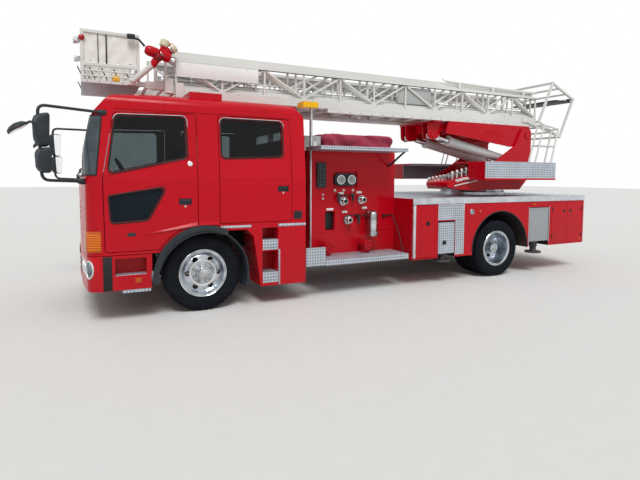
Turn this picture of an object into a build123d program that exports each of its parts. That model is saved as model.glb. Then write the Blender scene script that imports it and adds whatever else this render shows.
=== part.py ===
"""Double-cab ladder fire engine with an open pump bay, a slewing telescopic ladder and outriggers.

Lengths are millimetres. While it is modelled, X runs forward from the front axle, Y to the left
and Z up from the ground. Every piece is moved along X at the end, so that the origin lies on the
ground under the middle of the whole vehicle.
"""
from build123d import *
import math
import os

# Running gear
WHEELBASE = 4340.0
TYRE_RADIUS = 419.0
TYRE_WIDTH = 245.0
RIM_RADIUS = 260.0
RIM_BARREL = 238.0
RIM_WALL = 10.0
DISC_THICK = 14.0
HAND_HOLE_RADIUS = 31.0
HAND_HOLE_CIRCLE = 165.0
HAND_HOLES = 6
HUB_RADIUS = 78.0
SPINDLE_RADIUS = 30.0
RUNNING_FIT = 0.05
FRONT_WHEEL_Y = 950.0
REAR_OUTER_Y = 970.0
DUAL_SPACING = 280.0
KINGPIN_Y = FRONT_WHEEL_Y - 50
KINGPIN_RADIUS = 20.0
BEAM_EYE_RADIUS = 42.0
BEAM_EYE_HEIGHT = 90.0
LUG_GAP = 0.5
LUG_HEIGHT = 32.0
AXLE_Z = TYRE_RADIUS
REAR_AXLE_X = -WHEELBASE

# Body
HALF_WIDTH = 1150.0
BODY_REAR = REAR_AXLE_X - 1850
DECK_Z = 1180.0
DECK_EDGE = 80.0
DECK_TREAD = 4.0
MOULDING = 6.0
MOULDING_LOW = 1105.0
BODY_BOTTOM_FRONT = 365.0
BODY_BOTTOM_REAR = 412.0
REAR_ARCH_RADIUS = 550.0
ARCH_LIP = 14.0
WELL_INNER = 500.0
LOCKER_LENGTH = 420.0
LOCKER_WALL = 30.0
LOCKER_DEPTH = 520.0
HINGE_GAP = 0.3
SEAM = 6.0
SEAM_DEPTH = 5.0

# Chassis frame
RAIL_OUTER = 430.0
RAIL_WIDTH = 70.0
RAIL_BOTTOM = 600.0
RAIL_TOP = 840.0
RAIL_FRONT = 1000.0
RAIL_REAR = BODY_REAR + 90
SHAFT_Z = 665.0
SHAFT_RADIUS = 38.0
SHAFT_BEND_X = REAR_AXLE_X + 840
SPRING_THICK = 40.0
SPRING_WIDTH = 70.0
TUNNEL_HALF = 470.0

# Cab
WALL = 45.0
CAB_REAR = -1185.0
CAB_FRONT = 1190.0
CAB_FRONT_BOTTOM = 685.0
CAB_ROOF = 2312.0
BELT_Z = 1440.0
ROOF_HALF = HALF_WIDTH - 88
ARCH_RADIUS = 500.0
DOOR_GAP = 7.0
GLASS_DEPTH = 14.0
GLASS_THICK = 6.0
GLASS_GAP = 0.3
CAB_REAR_BOTTOM = AXLE_Z + ARCH_RADIUS
FLOOR_Z = CAB_REAR_BOTTOM + WALL
SILL = 45.0
GRILLE_LOW = 1010.0
GRILLE_PITCH = 58.0
GRILLE_SLOT = 34.0
GRILLE_SLOTS = 4
GRILLE_HALF = 560.0
GRILLE_DEPTH = 20.0
HANDLE_LENGTH = 130.0
HANDLE_HEIGHT = 66.0
HANDLE_DEPTH = 18.0
CREASE = 12.0
CREASE_DEPTH = 5.0

# Bumper, flares and skirts
BUMPER_TOP = 678.0
BUMPER_BOTTOM = 330.0
BUMPER_WALL = 60.0
BUMPER_REAR = 535.0
LAMP_INNER = HALF_WIDTH - 510
LAMP_OUTER = HALF_WIDTH - 190
FLARE_INNER = 475.0
FLARE_OUTER = 530.0
FLARE_PROUD = 28.0
MUDGUARD_THICK = 16.0
MUDGUARD_BOTTOM = 240.0
SKIRT_BOTTOM = 225.0
SKIRT_INNER = HALF_WIDTH - 390
STEP_RECESS = 220.0

# Pump bay
PUMP_FRONT = -1450.0
PUMP_REAR = REAR_AXLE_X + 1600
PUMP_HALF = 720.0
PUMP_BOTTOM = 450.0
PUMP_TOP = 1800.0
CANOPY_FRONT = PUMP_FRONT + 70
CANOPY_REAR = PUMP_REAR + 90
CANOPY_THICK = 45.0
CANOPY_STAY = 24.0
STEP_TOP = 465.0
STEP_THICK = 70.0
HOSE_COVER_TOP = 2015.0
HOSE_COVER_FRONT = PUMP_FRONT - 180
BODY_TUNNEL_TOP = 900.0
COUPLING_RADIUS = 36.0
COUPLING_LENGTH = 70.0
FLANGE_THICK = 30.0
ELBOW_RADIUS = 62.0
DIAL_RADIUS = 60.0

# Outriggers
OUTRIGGER_FRONT_X = REAR_AXLE_X + 1025
OUTRIGGER_REAR_X = REAR_AXLE_X - 805
BEAM_SIZE = 110.0
BEAM_WALL = 8.0
BEAM_PAD_GAP = 0.4
BEAM_SIDE_GAP = 5.0
BOX_WALL = 10.0
BOX_TOP = RAIL_BOTTOM
JACK_OUTER = 60.0
JACK_ROD = 48.0
JACK_Y = HALF_WIDTH - 100
JACK_TOP = 850.0
JACK_BOTTOM = 400.0
FOOT_RADIUS = 120.0
FOOT_BOTTOM = 300.0
FOOT_THICK = 25.0
COVER_THICK = 18.0

# Turntable
SLEW_X = REAR_AXLE_X - 520
SLEW_RADIUS = 540.0
SLEW_BORE = 320.0
SLEW_BASE_TOP = 1225.0
SLEW_GAP = 0.3
TURNTABLE_TOP = 1275.0
TURRET_INNER = 460.0
TURRET_PLATE = 35.0
PIVOT_X = SLEW_X - 740
PIVOT_Z = 2180.0
PIVOT_RADIUS = 45.0
PLATFORM_TOP = 1700.0
PLATFORM_SKIRT = 270.0
PLATFORM_THICK = 25.0
LEVERS = 6
CONSOLE_OUTER = 800.0

# Lift cylinders, from the pivot
CYL_FOOT_DX = 120.0
CYL_FOOT_DZ = -450.0
CYL_EYE_DX = 1900.0
CYL_EYE_DZ = -60.0
CYL_Y = 280.0
CYL_OUTER = 75.0
CYL_ROD = 45.0
CYL_PIN = 30.0
CYL_EYE_RADIUS = 60.0
CYL_EYE_WIDTH = 60.0
CYL_CHEEK = 22.0
CYL_CHEEK_GAP = 2.0
CYL_NECK = 165.0

# Ladder sections, outermost first
LADDER_REAR = PIVOT_X - 250
LADDER_SECTION_LENGTH = 6010.0
LADDER_SECTIONS = 3
RAIL_W = 40.0
LADDER_RAIL_HIGH = 105.0
SECTION_STEP_X = 60.0
SECTION_STEP_FRONT = 110.0
SECTION_STEP_Y = 50.0
SECTION_STEP_Z = 46.0
SECTION_HALF = 450.0
SECTION_BOTTOM = 2382.0
SECTION_TOP = 2840.0
BASE_RAIL_FRONT = LADDER_REAR + 4020
BASE_RAIL_BOTTOM = 2330.0
CHORD = 38.0
BRACE = 24.0
BRACE_PITCH = 560.0
RUNG = 26.0
RUNG_PITCH = 340.0
PAD_GAP = 0.4
COLLAR_LENGTH = 90.0
COLLAR_PROUD = 26.0
HINGE_AHEAD = 60.0
HINGE_RADIUS = 20.0
GUARD_BAR = 34.0
GUARD_Y = 470.0

# Basket
BASKET_LENGTH = 590.0
BASKET_AHEAD = 110.0
BASKET_BELOW = 58.0
BASKET_HALF = 500.0
BASKET_TUBE = 30.0
BASKET_MIDDLE = 180.0
BASKET_TOP = 525.0
CLOTH_GAP = 0.3
CLOTH_THICK = 18.0

parts = {}


def box(x0, x1, y0, y1, z0, z1):
    """A block between two corners."""
    centre = Pos((x0 + x1) / 2, (y0 + y1) / 2, (z0 + z1) / 2)
    return centre * Box(abs(x1 - x0), abs(y1 - y0), abs(z1 - z0))


def rod_x(y, z, radius, x0, x1):
    """A round bar along X."""
    return Pos((x0 + x1) / 2, y, z) * Rot(0, 90, 0) * Cylinder(radius, abs(x1 - x0))


def rod_y(x, z, radius, y0, y1):
    """A round bar along Y."""
    return Pos(x, (y0 + y1) / 2, z) * Rot(90, 0, 0) * Cylinder(radius, abs(y1 - y0))


def rod_z(x, y, radius, z0, z1):
    """A round bar along Z."""
    return Pos(x, y, (z0 + z1) / 2) * Cylinder(radius, abs(z1 - z0))


def outline(table):
    """A flat face from rows of (first, second, corner radius)."""
    face = make_face(Polyline(*[(row[0], row[1]) for row in table], close=True))
    for first, second, radius in table:
        if radius > 0:
            corner = face.vertices().sort_by_distance((first, second, 0))[0]
            face = fillet(corner, radius)
    return face


def prism_y(face, y0, y1):
    """A face drawn in X and Z, drawn out along Y."""
    return extrude(Plane.XZ.offset(-y1) * face, y1 - y0)


def prism_x(face, x0, x1):
    """A face drawn in Y and Z, drawn out along X."""
    return extrude(Plane.YZ.offset(x0) * face, x1 - x0)


def prism_z(face, z0, z1):
    """A face drawn in X and Y, drawn out along Z."""
    return extrude(Plane.XY.offset(z0) * face, z1 - z0)


def disc(x, z, radius):
    """A flat disc in X and Z."""
    return Pos(x, z) * Circle(radius)


def rect(x0, x1, z0, z1):
    """A flat rectangle between two corners."""
    return Pos((x0 + x1) / 2, (z0 + z1) / 2) * Rectangle(abs(x1 - x0), abs(z1 - z0))


def bar(p, q, width, y0, y1):
    """A flat-sided bar between two points of an XZ plane."""
    dx, dz = q[0] - p[0], q[1] - p[1]
    length = math.hypot(dx, dz)
    nx, nz = -dz / length * width / 2, dx / length * width / 2
    corners = [(p[0] + nx, p[1] + nz), (p[0] - nx, p[1] - nz), (q[0] - nx, q[1] - nz), (q[0] + nx, q[1] + nz)]
    return prism_y(make_face(Polyline(*corners, close=True)), y0, y1)


def tube(p, q, radius):
    """A round bar between any two points."""
    start, end = Vector(*p), Vector(*q)
    way = end - start
    return extrude(Plane(origin=start, z_dir=way) * Circle(radius), way.length)


def mirrored(shape):
    """The same shape on the other side of the vehicle."""
    return mirror(shape, Plane.XZ)


def both(shape):
    """A shape and its copy on the other side."""
    return [shape, mirrored(shape)]


def fuse(*shapes):
    """All shapes joined into one."""
    result = None
    for shape in shapes:
        for item in (shape if isinstance(shape, (list, tuple)) else [shape]):
            result = item if result is None else result + item
    return result


def node(name, *shapes):
    """Keep shapes as one named piece."""
    parts[name] = fuse(*shapes)


def spun(table, side=1):
    """A ring turned about Y from rows of (radius, distance outward)."""
    face = make_face(Polyline(*[(radius, side * out) for radius, out in table], close=True))
    return revolve(face, Axis.Y)


# Cab form

# Columns: X, Z, corner radius
CAB_SIDE = [
    (CAB_FRONT - 6, CAB_FRONT_BOTTOM, 0),
    (CAB_FRONT, BELT_Z - 8, 60),
    (1062, 2078, 160),
    (905, 2268, 130),
    (480, 2298, 0),
    (-520, CAB_ROOF, 0),
    (-1040, 2290, 90),
    (CAB_REAR, 2170, 60),
    (CAB_REAR, CAB_REAR_BOTTOM, 0),
    (0, CAB_REAR_BOTTOM, 0),
    (0, CAB_FRONT_BOTTOM, 0),
]
# Columns: Y, Z, corner radius
CAB_SECTION = [
    (-HALF_WIDTH, 200, 0),
    (-HALF_WIDTH, BELT_Z, 300),
    (-ROOF_HALF, 2300, 105),
    (-500, 2322, 0),
    (500, 2322, 0),
    (ROOF_HALF, 2300, 105),
    (HALF_WIDTH, BELT_Z, 300),
    (HALF_WIDTH, 200, 0),
]
# Columns: X, Y, corner radius
CAB_PLAN = [
    (CAB_REAR - 1, -HALF_WIDTH - 1, 0),
    (CAB_FRONT - 65, -HALF_WIDTH - 1, 130),
    (CAB_FRONT - 20, -700, 500),
    (CAB_FRONT + 8, 0, 0),
    (CAB_FRONT - 20, 700, 500),
    (CAB_FRONT - 65, HALF_WIDTH + 1, 130),
    (CAB_REAR - 1, HALF_WIDTH + 1, 0),
]
OUT = HALF_WIDTH + 60
IN = HALF_WIDTH - 250
AHEAD = CAB_FRONT + 60
BEHIND = CAB_REAR - 60


def inset(face, depth):
    """A face drawn in by a depth, or let out by a negative one."""
    if depth == 0:
        return face
    return offset(face, -depth, kind=Kind.INTERSECTION)


def cab_form(depth):
    """The cab's outer form, drawn in by a depth."""
    side = outline(CAB_SIDE) - disc(0, AXLE_Z, ARCH_RADIUS)
    form = prism_y(inset(side, depth), -OUT, OUT)
    form &= prism_x(inset(outline(CAB_SECTION), depth), BEHIND, AHEAD)
    form &= prism_z(inset(outline(CAB_PLAN), depth), 100, CAB_ROOF + 90)
    return form


def side_band(depth):
    """The side walls to a depth, open at the bottom."""
    outer = outline(CAB_SECTION)
    inner = inset(outer, depth) + rect(-HALF_WIDTH + depth, HALF_WIDTH - depth, 0, CAB_REAR_BOTTOM + 80)
    return prism_x(outer - inner, BEHIND, AHEAD)


# Columns: X, Z, corner radius
FRONT_DOOR = [(975, 712, 25), (983, 1450, 0), (868, 2105, 45), (60, 2125, 40), (60, 712, 0)]
REAR_DOOR = [(-166, 955, 25), (-166, 2125, 40), (-1013, 2125, 60), (-1013, 955, 25)]
FRONT_WINDOW = [(922, 1500, 40), (846, 2062, 45), (180, 2078, 40), (172, 1663, 40)]
REAR_WINDOW = [(-206, 1672, 40), (-206, 2082, 40), (-905, 2082, 45), (-905, 1700, 40)]
KERB_WINDOW = [(924, 1269, 20), (386, 1354, 30), (569, 1029, 40), (908, 1008, 30)]
# Columns: Y, Z, corner radius
WINDSCREEN = [(-HALF_WIDTH + 135, 1478, 90), (-HALF_WIDTH + 212, 2038, 80),
              (HALF_WIDTH - 212, 2038, 80), (HALF_WIDTH - 135, 1478, 90)]
BACK_WINDOW = [(-600, 1700, 50), (-600, 2040, 50), (600, 2040, 50), (600, 1700, 50)]
# Columns: door's outline, its window, X and Z of its handle
DOORS = {
    "front": (FRONT_DOOR, FRONT_WINDOW, 196, 1204),
    "rear": (REAR_DOOR, REAR_WINDOW, -903, 1330),
}
# The ends of the crease under the front window: X, Z
CREASE_LINE = ((1000, 1450), (66, 1684))


def door_face(table, gap):
    """A door's outline, smaller all round by a gap, above the wheel arch."""
    face = outline(table) - disc(0, AXLE_Z, ARCH_RADIUS + SILL)
    return inset(face, gap)


def handle(x, z):
    """A door handle's recess and the paddle in its upper half."""
    inner = HALF_WIDTH - HANDLE_DEPTH
    half, high = HANDLE_LENGTH / 2, HANDLE_HEIGHT / 2
    recess = box(x - half, x + half, inner, OUT, z - high, z + high)
    paddle = box(x - half + 6, x + half - 6, inner - 2, HALF_WIDTH - 3, z + 2, z + high - 6)
    return recess, paddle


def build_cab():
    """Shell, doors and glass of the double cab."""
    outer = cab_form(0)
    inner = cab_form(WALL)
    tunnel = box(CAB_REAR - 10, 1095, -TUNNEL_HALF, TUNNEL_HALF, 0, CAB_REAR_BOTTOM)
    walled = TUNNEL_HALF + WALL
    tunnel_walled = box(CAB_REAR - 10, CAB_FRONT + 10, -walled, walled, 0, FLOOR_Z)
    shell = outer - tunnel - (inner - tunnel_walled)
    band = side_band(WALL)
    pane_layer = cab_form(GLASS_DEPTH) - cab_form(GLASS_DEPTH + GLASS_THICK)
    crease_layer = outer - cab_form(CREASE_DEPTH)
    for where, (door_table, window_table, handle_x, handle_z) in DOORS.items():
        shell -= band & prism_y(door_face(door_table, 0), -OUT, OUT)
        leaf_form = prism_y(door_face(door_table, DOOR_GAP), IN, OUT)
        leaf = outer & band & leaf_form
        panes = pane_layer & prism_y(inset(outline(window_table), GLASS_GAP), IN, OUT)
        leaf -= prism_y(outline(window_table), IN, OUT)
        if where == "front":
            leaf -= crease_layer & bar(*CREASE_LINE, CREASE, IN, OUT)
        recess, paddle = handle(handle_x, handle_z)
        leaf = leaf - recess + paddle
        node(f"door_{where}_right", mirrored(leaf))
        node(f"glass_{where}_right", mirrored(panes))
        if where == "front":
            leaf -= prism_y(outline(KERB_WINDOW), IN, OUT)
            panes = fuse(panes, pane_layer & prism_y(inset(outline(KERB_WINDOW), GLASS_GAP), IN, OUT))
        node(f"door_{where}_left", leaf)
        node(f"glass_{where}_left", panes)
    skin = outer - cab_form(GRILLE_DEPTH)
    for row in range(GRILLE_SLOTS):
        low = GRILLE_LOW + row * GRILLE_PITCH
        shell -= skin & box(CAB_FRONT - 150, AHEAD, -GRILLE_HALF, GRILLE_HALF, low, low + GRILLE_SLOT)
    front_x, rear_x = (CAB_FRONT - 290, AHEAD), (CAB_REAR - 20, CAB_REAR + WALL + 20)
    shell -= prism_x(outline(WINDSCREEN), *front_x)
    shell -= prism_x(outline(BACK_WINDOW), *rear_x)
    screen = pane_layer & prism_x(inset(outline(WINDSCREEN), GLASS_GAP), *front_x)
    back = pane_layer & prism_x(inset(outline(BACK_WINDOW), GLASS_GAP), *rear_x)
    node("cab_shell", shell)
    node("cab_glass", screen, back)
    build_interior(inner)


def build_interior(inner):
    """Seats, dashboard and steering wheel inside the cab."""
    seat_y = 560.0
    bench = HALF_WIDTH - 170
    wheel_x, wheel_z, wheel_radius, wheel_tilt = 650.0, 1500.0, 215.0, -60
    at_wheel = Pos(wheel_x, -seat_y, wheel_z) * Rot(0, wheel_tilt, 0)
    wheel = at_wheel * Torus(wheel_radius, 15)
    boss = at_wheel * Cylinder(60, 40)
    spokes = at_wheel * Box(40, 2 * wheel_radius - 10, 12)
    column = tube((wheel_x, -seat_y, wheel_z), (wheel_x + 250, -seat_y, wheel_z - 145), 32)
    dash = inner & box(840, CAB_FRONT, -HALF_WIDTH + 100, HALF_WIDTH - 100, 1160, 1420)
    seats = []
    for y in (-seat_y, seat_y):
        seats.append(box(-150, 0, y - 200, y + 200, FLOOR_Z, 1230))
        seats.append(box(-150, 370, y - 250, y + 250, 1230, 1360))
        seats.append(box(-190, -90, y - 250, y + 250, 1300, 1860))
        seats.append(box(-170, -100, y - 130, y + 130, 1860, 2020))
    seats.append(box(CAB_REAR + 135, -640, -bench, bench, FLOOR_Z, 1330))
    seats.append(box(CAB_REAR + WALL + 5, CAB_REAR + 145, -bench, bench, 1280, 1900))
    node("cab_interior", *seats, dash, wheel, boss, spokes, column)


def build_front():
    """Bumper and lamps."""
    plan = outline(CAB_PLAN)
    hollow = inset(plan, BUMPER_WALL) & rect(0, CAB_FRONT, -HALF_WIDTH + 200, HALF_WIDTH - 200)
    reach = rect(BUMPER_REAR, CAB_FRONT + 20, -OUT, OUT)
    bumper = prism_z(plan & reach, BUMPER_BOTTOM, BUMPER_TOP)
    bumper -= prism_z(hollow, 0, BUMPER_TOP + 10)
    bumper &= box(0, AHEAD, -HALF_WIDTH, HALF_WIDTH, 0, BUMPER_TOP + 10)
    bumper -= prism_y(disc(0, AXLE_Z, ARCH_RADIUS + SILL), -OUT, OUT)
    pads = both(box(RAIL_FRONT, CAB_FRONT - 50, RAIL_OUTER - RAIL_WIDTH, RAIL_OUTER, RAIL_BOTTOM, BUMPER_TOP))
    bumper = fuse(bumper, pads) & prism_z(plan, 0, BUMPER_TOP)
    step_cut = box(590, 885, HALF_WIDTH - 140, OUT, 480, 648)
    lamp = box(CAB_FRONT - 70, AHEAD, LAMP_INNER, LAMP_OUTER, 470, 620)
    for cut in both(step_cut) + both(lamp):
        bumper -= cut
    # Rows of the air intake between the lamps: Z bottom, Z top
    intake_skin = prism_z(plan - inset(plan, GRILLE_DEPTH), 0, BUMPER_TOP)
    for low, high in ((405, 445), (465, 505), (525, 565)):
        bumper -= intake_skin & box(CAB_FRONT - 150, AHEAD, -GRILLE_HALF, GRILLE_HALF, low, high)
    node("bumper", bumper)
    lens = [prism_z(plan, 0, BUMPER_TOP) & shape for shape in both(lamp)]
    corner = (cab_form(-8) - cab_form(0)) & box(1003, AHEAD, IN + 100, OUT, 722, 930)
    tails = both(box(BODY_REAR - 35, BODY_REAR, HALF_WIDTH - 270, HALF_WIDTH - 60, 520, 640))
    node("lamps", lens, both(corner), tails)


def build_arches():
    """Wheel-arch flares, mudguards behind the front wheels, rear arch lips and the cab's side vents."""
    ring = disc(0, AXLE_Z, FLARE_OUTER) - disc(0, AXLE_Z, FLARE_INNER)
    ring &= rect(-250, 600, AXLE_Z - 60, AXLE_Z + 700)
    flare = prism_y(ring, HALF_WIDTH, HALF_WIDTH + FLARE_PROUD)
    guard = disc(0, AXLE_Z, FLARE_INNER + MUDGUARD_THICK) - disc(0, AXLE_Z, FLARE_INNER)
    guard &= rect(-600, -190, MUDGUARD_BOTTOM, AXLE_Z + 700)
    mudguard = prism_y(guard, SKIRT_INNER + 40, HALF_WIDTH)
    lip = disc(REAR_AXLE_X, AXLE_Z, REAR_ARCH_RADIUS + ARCH_LIP) - disc(REAR_AXLE_X, AXLE_Z, REAR_ARCH_RADIUS)
    lip &= rect(REAR_AXLE_X - 700, REAR_AXLE_X + 700, BODY_BOTTOM_REAR, AXLE_Z + 700)
    rear_lip = prism_y(lip, HALF_WIDTH, HALF_WIDTH + 8)
    vent_low, vent_high = 985.0, 1070.0
    vent = box(CAB_REAR + 55, CAB_REAR + 150, HALF_WIDTH, HALF_WIDTH + 12, vent_low, vent_high)
    for row in range(3):
        z = vent_low + 14 + row * 24
        vent -= box(CAB_REAR + 67, CAB_REAR + 138, HALF_WIDTH + 4, OUT, z, z + 12)
    node("arch_flares", both(fuse(flare, mudguard)), both(rear_lip), both(vent))


def build_skirts():
    """Boxes with foot recesses under the cab behind the front wheels."""
    # Columns: X, Z, corner radius
    face = outline([(-60, CAB_REAR_BOTTOM, 0), (CAB_REAR, CAB_REAR_BOTTOM, 0), (CAB_REAR, SKIRT_BOTTOM, 0),
                    (-630, SKIRT_BOTTOM, 0), (-548, 800, 40), (-470, 880, 30), (-60, 880, 0)])
    face -= disc(0, AXLE_Z, FLARE_INNER)
    skirt = prism_y(face, SKIRT_INNER, HALF_WIDTH)
    # Columns: Z bottom, Z top of each foot recess
    for low, high in ((376, 625), (749, 890)):
        skirt -= box(-840, -650, HALF_WIDTH - STEP_RECESS, OUT, low, high)
    carrier = box(-1100, -1040, RAIL_OUTER, SKIRT_INNER, 640, 720)
    node("cab_skirts", both(fuse(skirt, carrier)))


def build_mirrors():
    """Mirror arms and heads on both front corners."""
    arm_radius, stay_radius, out = 14.0, 10.0, HALF_WIDTH + 100
    # Columns: X, Y, Z along the arm
    arm = [(955, ROOF_HALF + 12, 2085), (1500, out, 2105), (1480, out, 1430), (1150, HALF_WIDTH - 100, 1415)]
    pieces = []
    for start, end in zip(arm[:-1], arm[1:]):
        pieces.append(tube(start, end, arm_radius))
    for point in arm[1:3]:
        pieces.append(Pos(*point) * Sphere(arm_radius))
    pieces.append(tube((1500, out, 1900), (1735, out, 1870), stay_radius))
    # Columns: X0, X1, Y0, Y1, Z0, Z1 of each flat mirror
    heads = ((1455, 1545, out - 100, out + 80, 1735, 2035), (1450, 1530, out - 90, out + 80, 1510, 1665))
    for corners in heads:
        pieces.append(fillet(box(*corners).edges().filter_by(Axis.Z), 20))
    pieces.append(Pos(1735, out, 1850) * Rot(0, 70, 0) * Cylinder(95, 36))
    node("mirrors", both(fuse(*pieces) - cab_form(0)))


# Running gear

# Columns: radius, distance from the tyre's middle
TYRE_PROFILE = [
    (RIM_BARREL + 0.2, -93), (RIM_RADIUS + 2, -100), (335, -TYRE_WIDTH / 2), (396, -112), (TYRE_RADIUS, -90),
    (TYRE_RADIUS, 90), (396, 112), (335, TYRE_WIDTH / 2), (RIM_RADIUS + 2, 100), (RIM_BARREL + 0.2, 93),
]


def barrel(centre):
    """A rim's barrel and flanges as rows of radius and distance outward."""
    half = TYRE_WIDTH / 2 - 22
    low, high = centre - half, centre + half
    inner = RIM_BARREL - RIM_WALL
    return [(inner, low - 8), (RIM_RADIUS, low - 8), (RIM_RADIUS, low - 1), (RIM_BARREL, low + 6),
            (RIM_BARREL, high - 6), (RIM_RADIUS, high + 1), (RIM_RADIUS, high + 8), (inner, high + 8)]


def dish(rows, thick):
    """A pressed disc's section from rows of (radius, outer face), given a thickness inward."""
    return list(rows) + [(radius, out - thick) for radius, out in reversed(rows)]


def wheel(side, centres, disc_rows, hub_in, hub_out, disc_thick=DISC_THICK):
    """One wheel or twin wheel about Y at the origin: its rim with hub, and its tyres."""
    bore = SPINDLE_RADIUS + RUNNING_FIT
    rim = fuse(*[spun(barrel(centre), side) for centre in centres])
    inner = RIM_BARREL - RIM_WALL
    face_out = disc_rows[0][1]
    plate = spun(dish(disc_rows, disc_thick), side)
    if len(centres) > 1:
        reach_in, reach_out = centres[1] + 95, centres[0] - 95
        rim += spun([(inner - 10, reach_in), (inner + 2, reach_in), (inner + 2, reach_out),
                     (inner - 10, reach_out)], side)
    hub = spun([(bore, hub_in), (HUB_RADIUS, hub_in), (HUB_RADIUS, face_out), (HUB_RADIUS - 8, hub_out),
                (bore, hub_out)], side)
    for index in range(HAND_HOLES):
        angle = 2 * math.pi * index / HAND_HOLES
        x, z = HAND_HOLE_CIRCLE * math.cos(angle), HAND_HOLE_CIRCLE * math.sin(angle)
        plate -= rod_y(x, z, HAND_HOLE_RADIUS, side * (face_out - 60), side * (face_out + 60))
    tyres = [Pos(0, side * centre, 0) * spun(TYRE_PROFILE) for centre in centres]
    return fuse(rim, plate, hub), tyres


def build_wheels():
    """Front and rear wheels on both sides."""
    bore, inner = SPINDLE_RADIUS + RUNNING_FIT, RIM_BARREL - RIM_WALL
    # Columns: radius, outer face of the disc
    front_disc = [(bore, 88), (118, 88), (150, 96), (186, 92), (inner + 2, 58)]
    rear_out = -DUAL_SPACING / 2 + DISC_THICK
    rear_disc = [(bore, rear_out), (inner + 2, rear_out)]
    for name, side in (("left", 1), ("right", -1)):
        rim, tyres = wheel(side, [0], front_disc, 30, 130)
        place = Pos(0, side * FRONT_WHEEL_Y, AXLE_Z)
        node(f"front_rim_{name}", place * rim)
        node(f"front_tyre_{name}", *[place * tyre for tyre in tyres])
        rim, tyres = wheel(side, [0, -DUAL_SPACING], rear_disc, -DUAL_SPACING - 40, 60, 2 * DISC_THICK)
        place = Pos(REAR_AXLE_X, side * REAR_OUTER_Y, AXLE_Z)
        node(f"rear_rims_{name}", place * rim)
        node(f"rear_tyres_{name}", *[place * tyre for tyre in tyres])


def build_knuckles():
    """Steering knuckles that carry the front wheels' spindles."""
    eye_top = AXLE_Z + BEAM_EYE_HEIGHT / 2
    eye_low = AXLE_Z - BEAM_EYE_HEIGHT / 2
    high, low = eye_top + LUG_GAP + LUG_HEIGHT, eye_low - LUG_GAP - LUG_HEIGHT
    web, plate_in, plate_thick = 38.0, KINGPIN_Y + BEAM_EYE_RADIUS + 6, 20.0
    plate_out = plate_in + plate_thick
    pieces = [
        rod_z(0, KINGPIN_Y, BEAM_EYE_RADIUS, eye_top + LUG_GAP, high),
        rod_z(0, KINGPIN_Y, BEAM_EYE_RADIUS, low, eye_low - LUG_GAP),
        rod_z(0, KINGPIN_Y, KINGPIN_RADIUS, eye_low - 20, eye_top + 20),
        box(-web, web, plate_in, plate_out, low, high),
        box(-web, web, KINGPIN_Y, plate_out, eye_top + LUG_GAP, high),
        box(-web, web, KINGPIN_Y, plate_out, low, eye_low - LUG_GAP),
        rod_y(0, AXLE_Z, SPINDLE_RADIUS, plate_in + 10, FRONT_WHEEL_Y + 118),
    ]
    knuckle = fuse(*pieces)
    node("knuckle_left", knuckle)
    node("knuckle_right", mirrored(knuckle))


def spring(reach, axle_x, seat_z):
    """A leaf spring with its hangers under a rail."""
    y = RAIL_OUTER - RAIL_WIDTH / 2
    y0, y1 = y - SPRING_WIDTH / 2, y + SPRING_WIDTH / 2
    leaf = SPRING_THICK * 0.7
    leaves = [box(axle_x - 110, axle_x + 110, y0, y1, seat_z - 20, seat_z + 30)]
    for way in (1, -1):
        end_x = axle_x + way * reach
        leaves.append(bar((end_x, RAIL_BOTTOM - 60), (axle_x + way * 80, seat_z), leaf, y0, y1))
        leaves.append(box(end_x - 30, end_x + 30, y0, y1, RAIL_BOTTOM - 85, RAIL_BOTTOM))
    return fuse(*leaves)


def shaft_nose():
    """Where the propeller shaft meets the rear axle's nose."""
    centre = Vector(REAR_AXLE_X, 0, AXLE_Z)
    way = (Vector(SHAFT_BEND_X, 0, SHAFT_Z) - centre).normalized()
    return centre + way * 210


def front_beam():
    """The front axle's forged beam, dropped between its eyes."""
    ends = KINGPIN_Y - 160
    beam = box(-45, 45, -ends, ends, AXLE_Z - 105, AXLE_Z - 15)
    eye = BEAM_EYE_HEIGHT / 2
    for side in (1, -1):
        ramp = [(side * (KINGPIN_Y - 170), AXLE_Z - 105), (side * (KINGPIN_Y - 60), AXLE_Z - 42),
                (side * KINGPIN_Y, AXLE_Z - 42), (side * KINGPIN_Y, AXLE_Z + 42),
                (side * (KINGPIN_Y - 60), AXLE_Z + 42), (side * (KINGPIN_Y - 170), AXLE_Z - 15)]
        beam += prism_x(make_face(Polyline(*ramp, close=True)), -35, 35)
        beam += rod_z(0, side * KINGPIN_Y, BEAM_EYE_RADIUS, AXLE_Z - eye, AXLE_Z + eye)
        beam -= rod_z(0, side * KINGPIN_Y, KINGPIN_RADIUS + RUNNING_FIT, AXLE_Z - 100, AXLE_Z + 100)
    return beam


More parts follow.
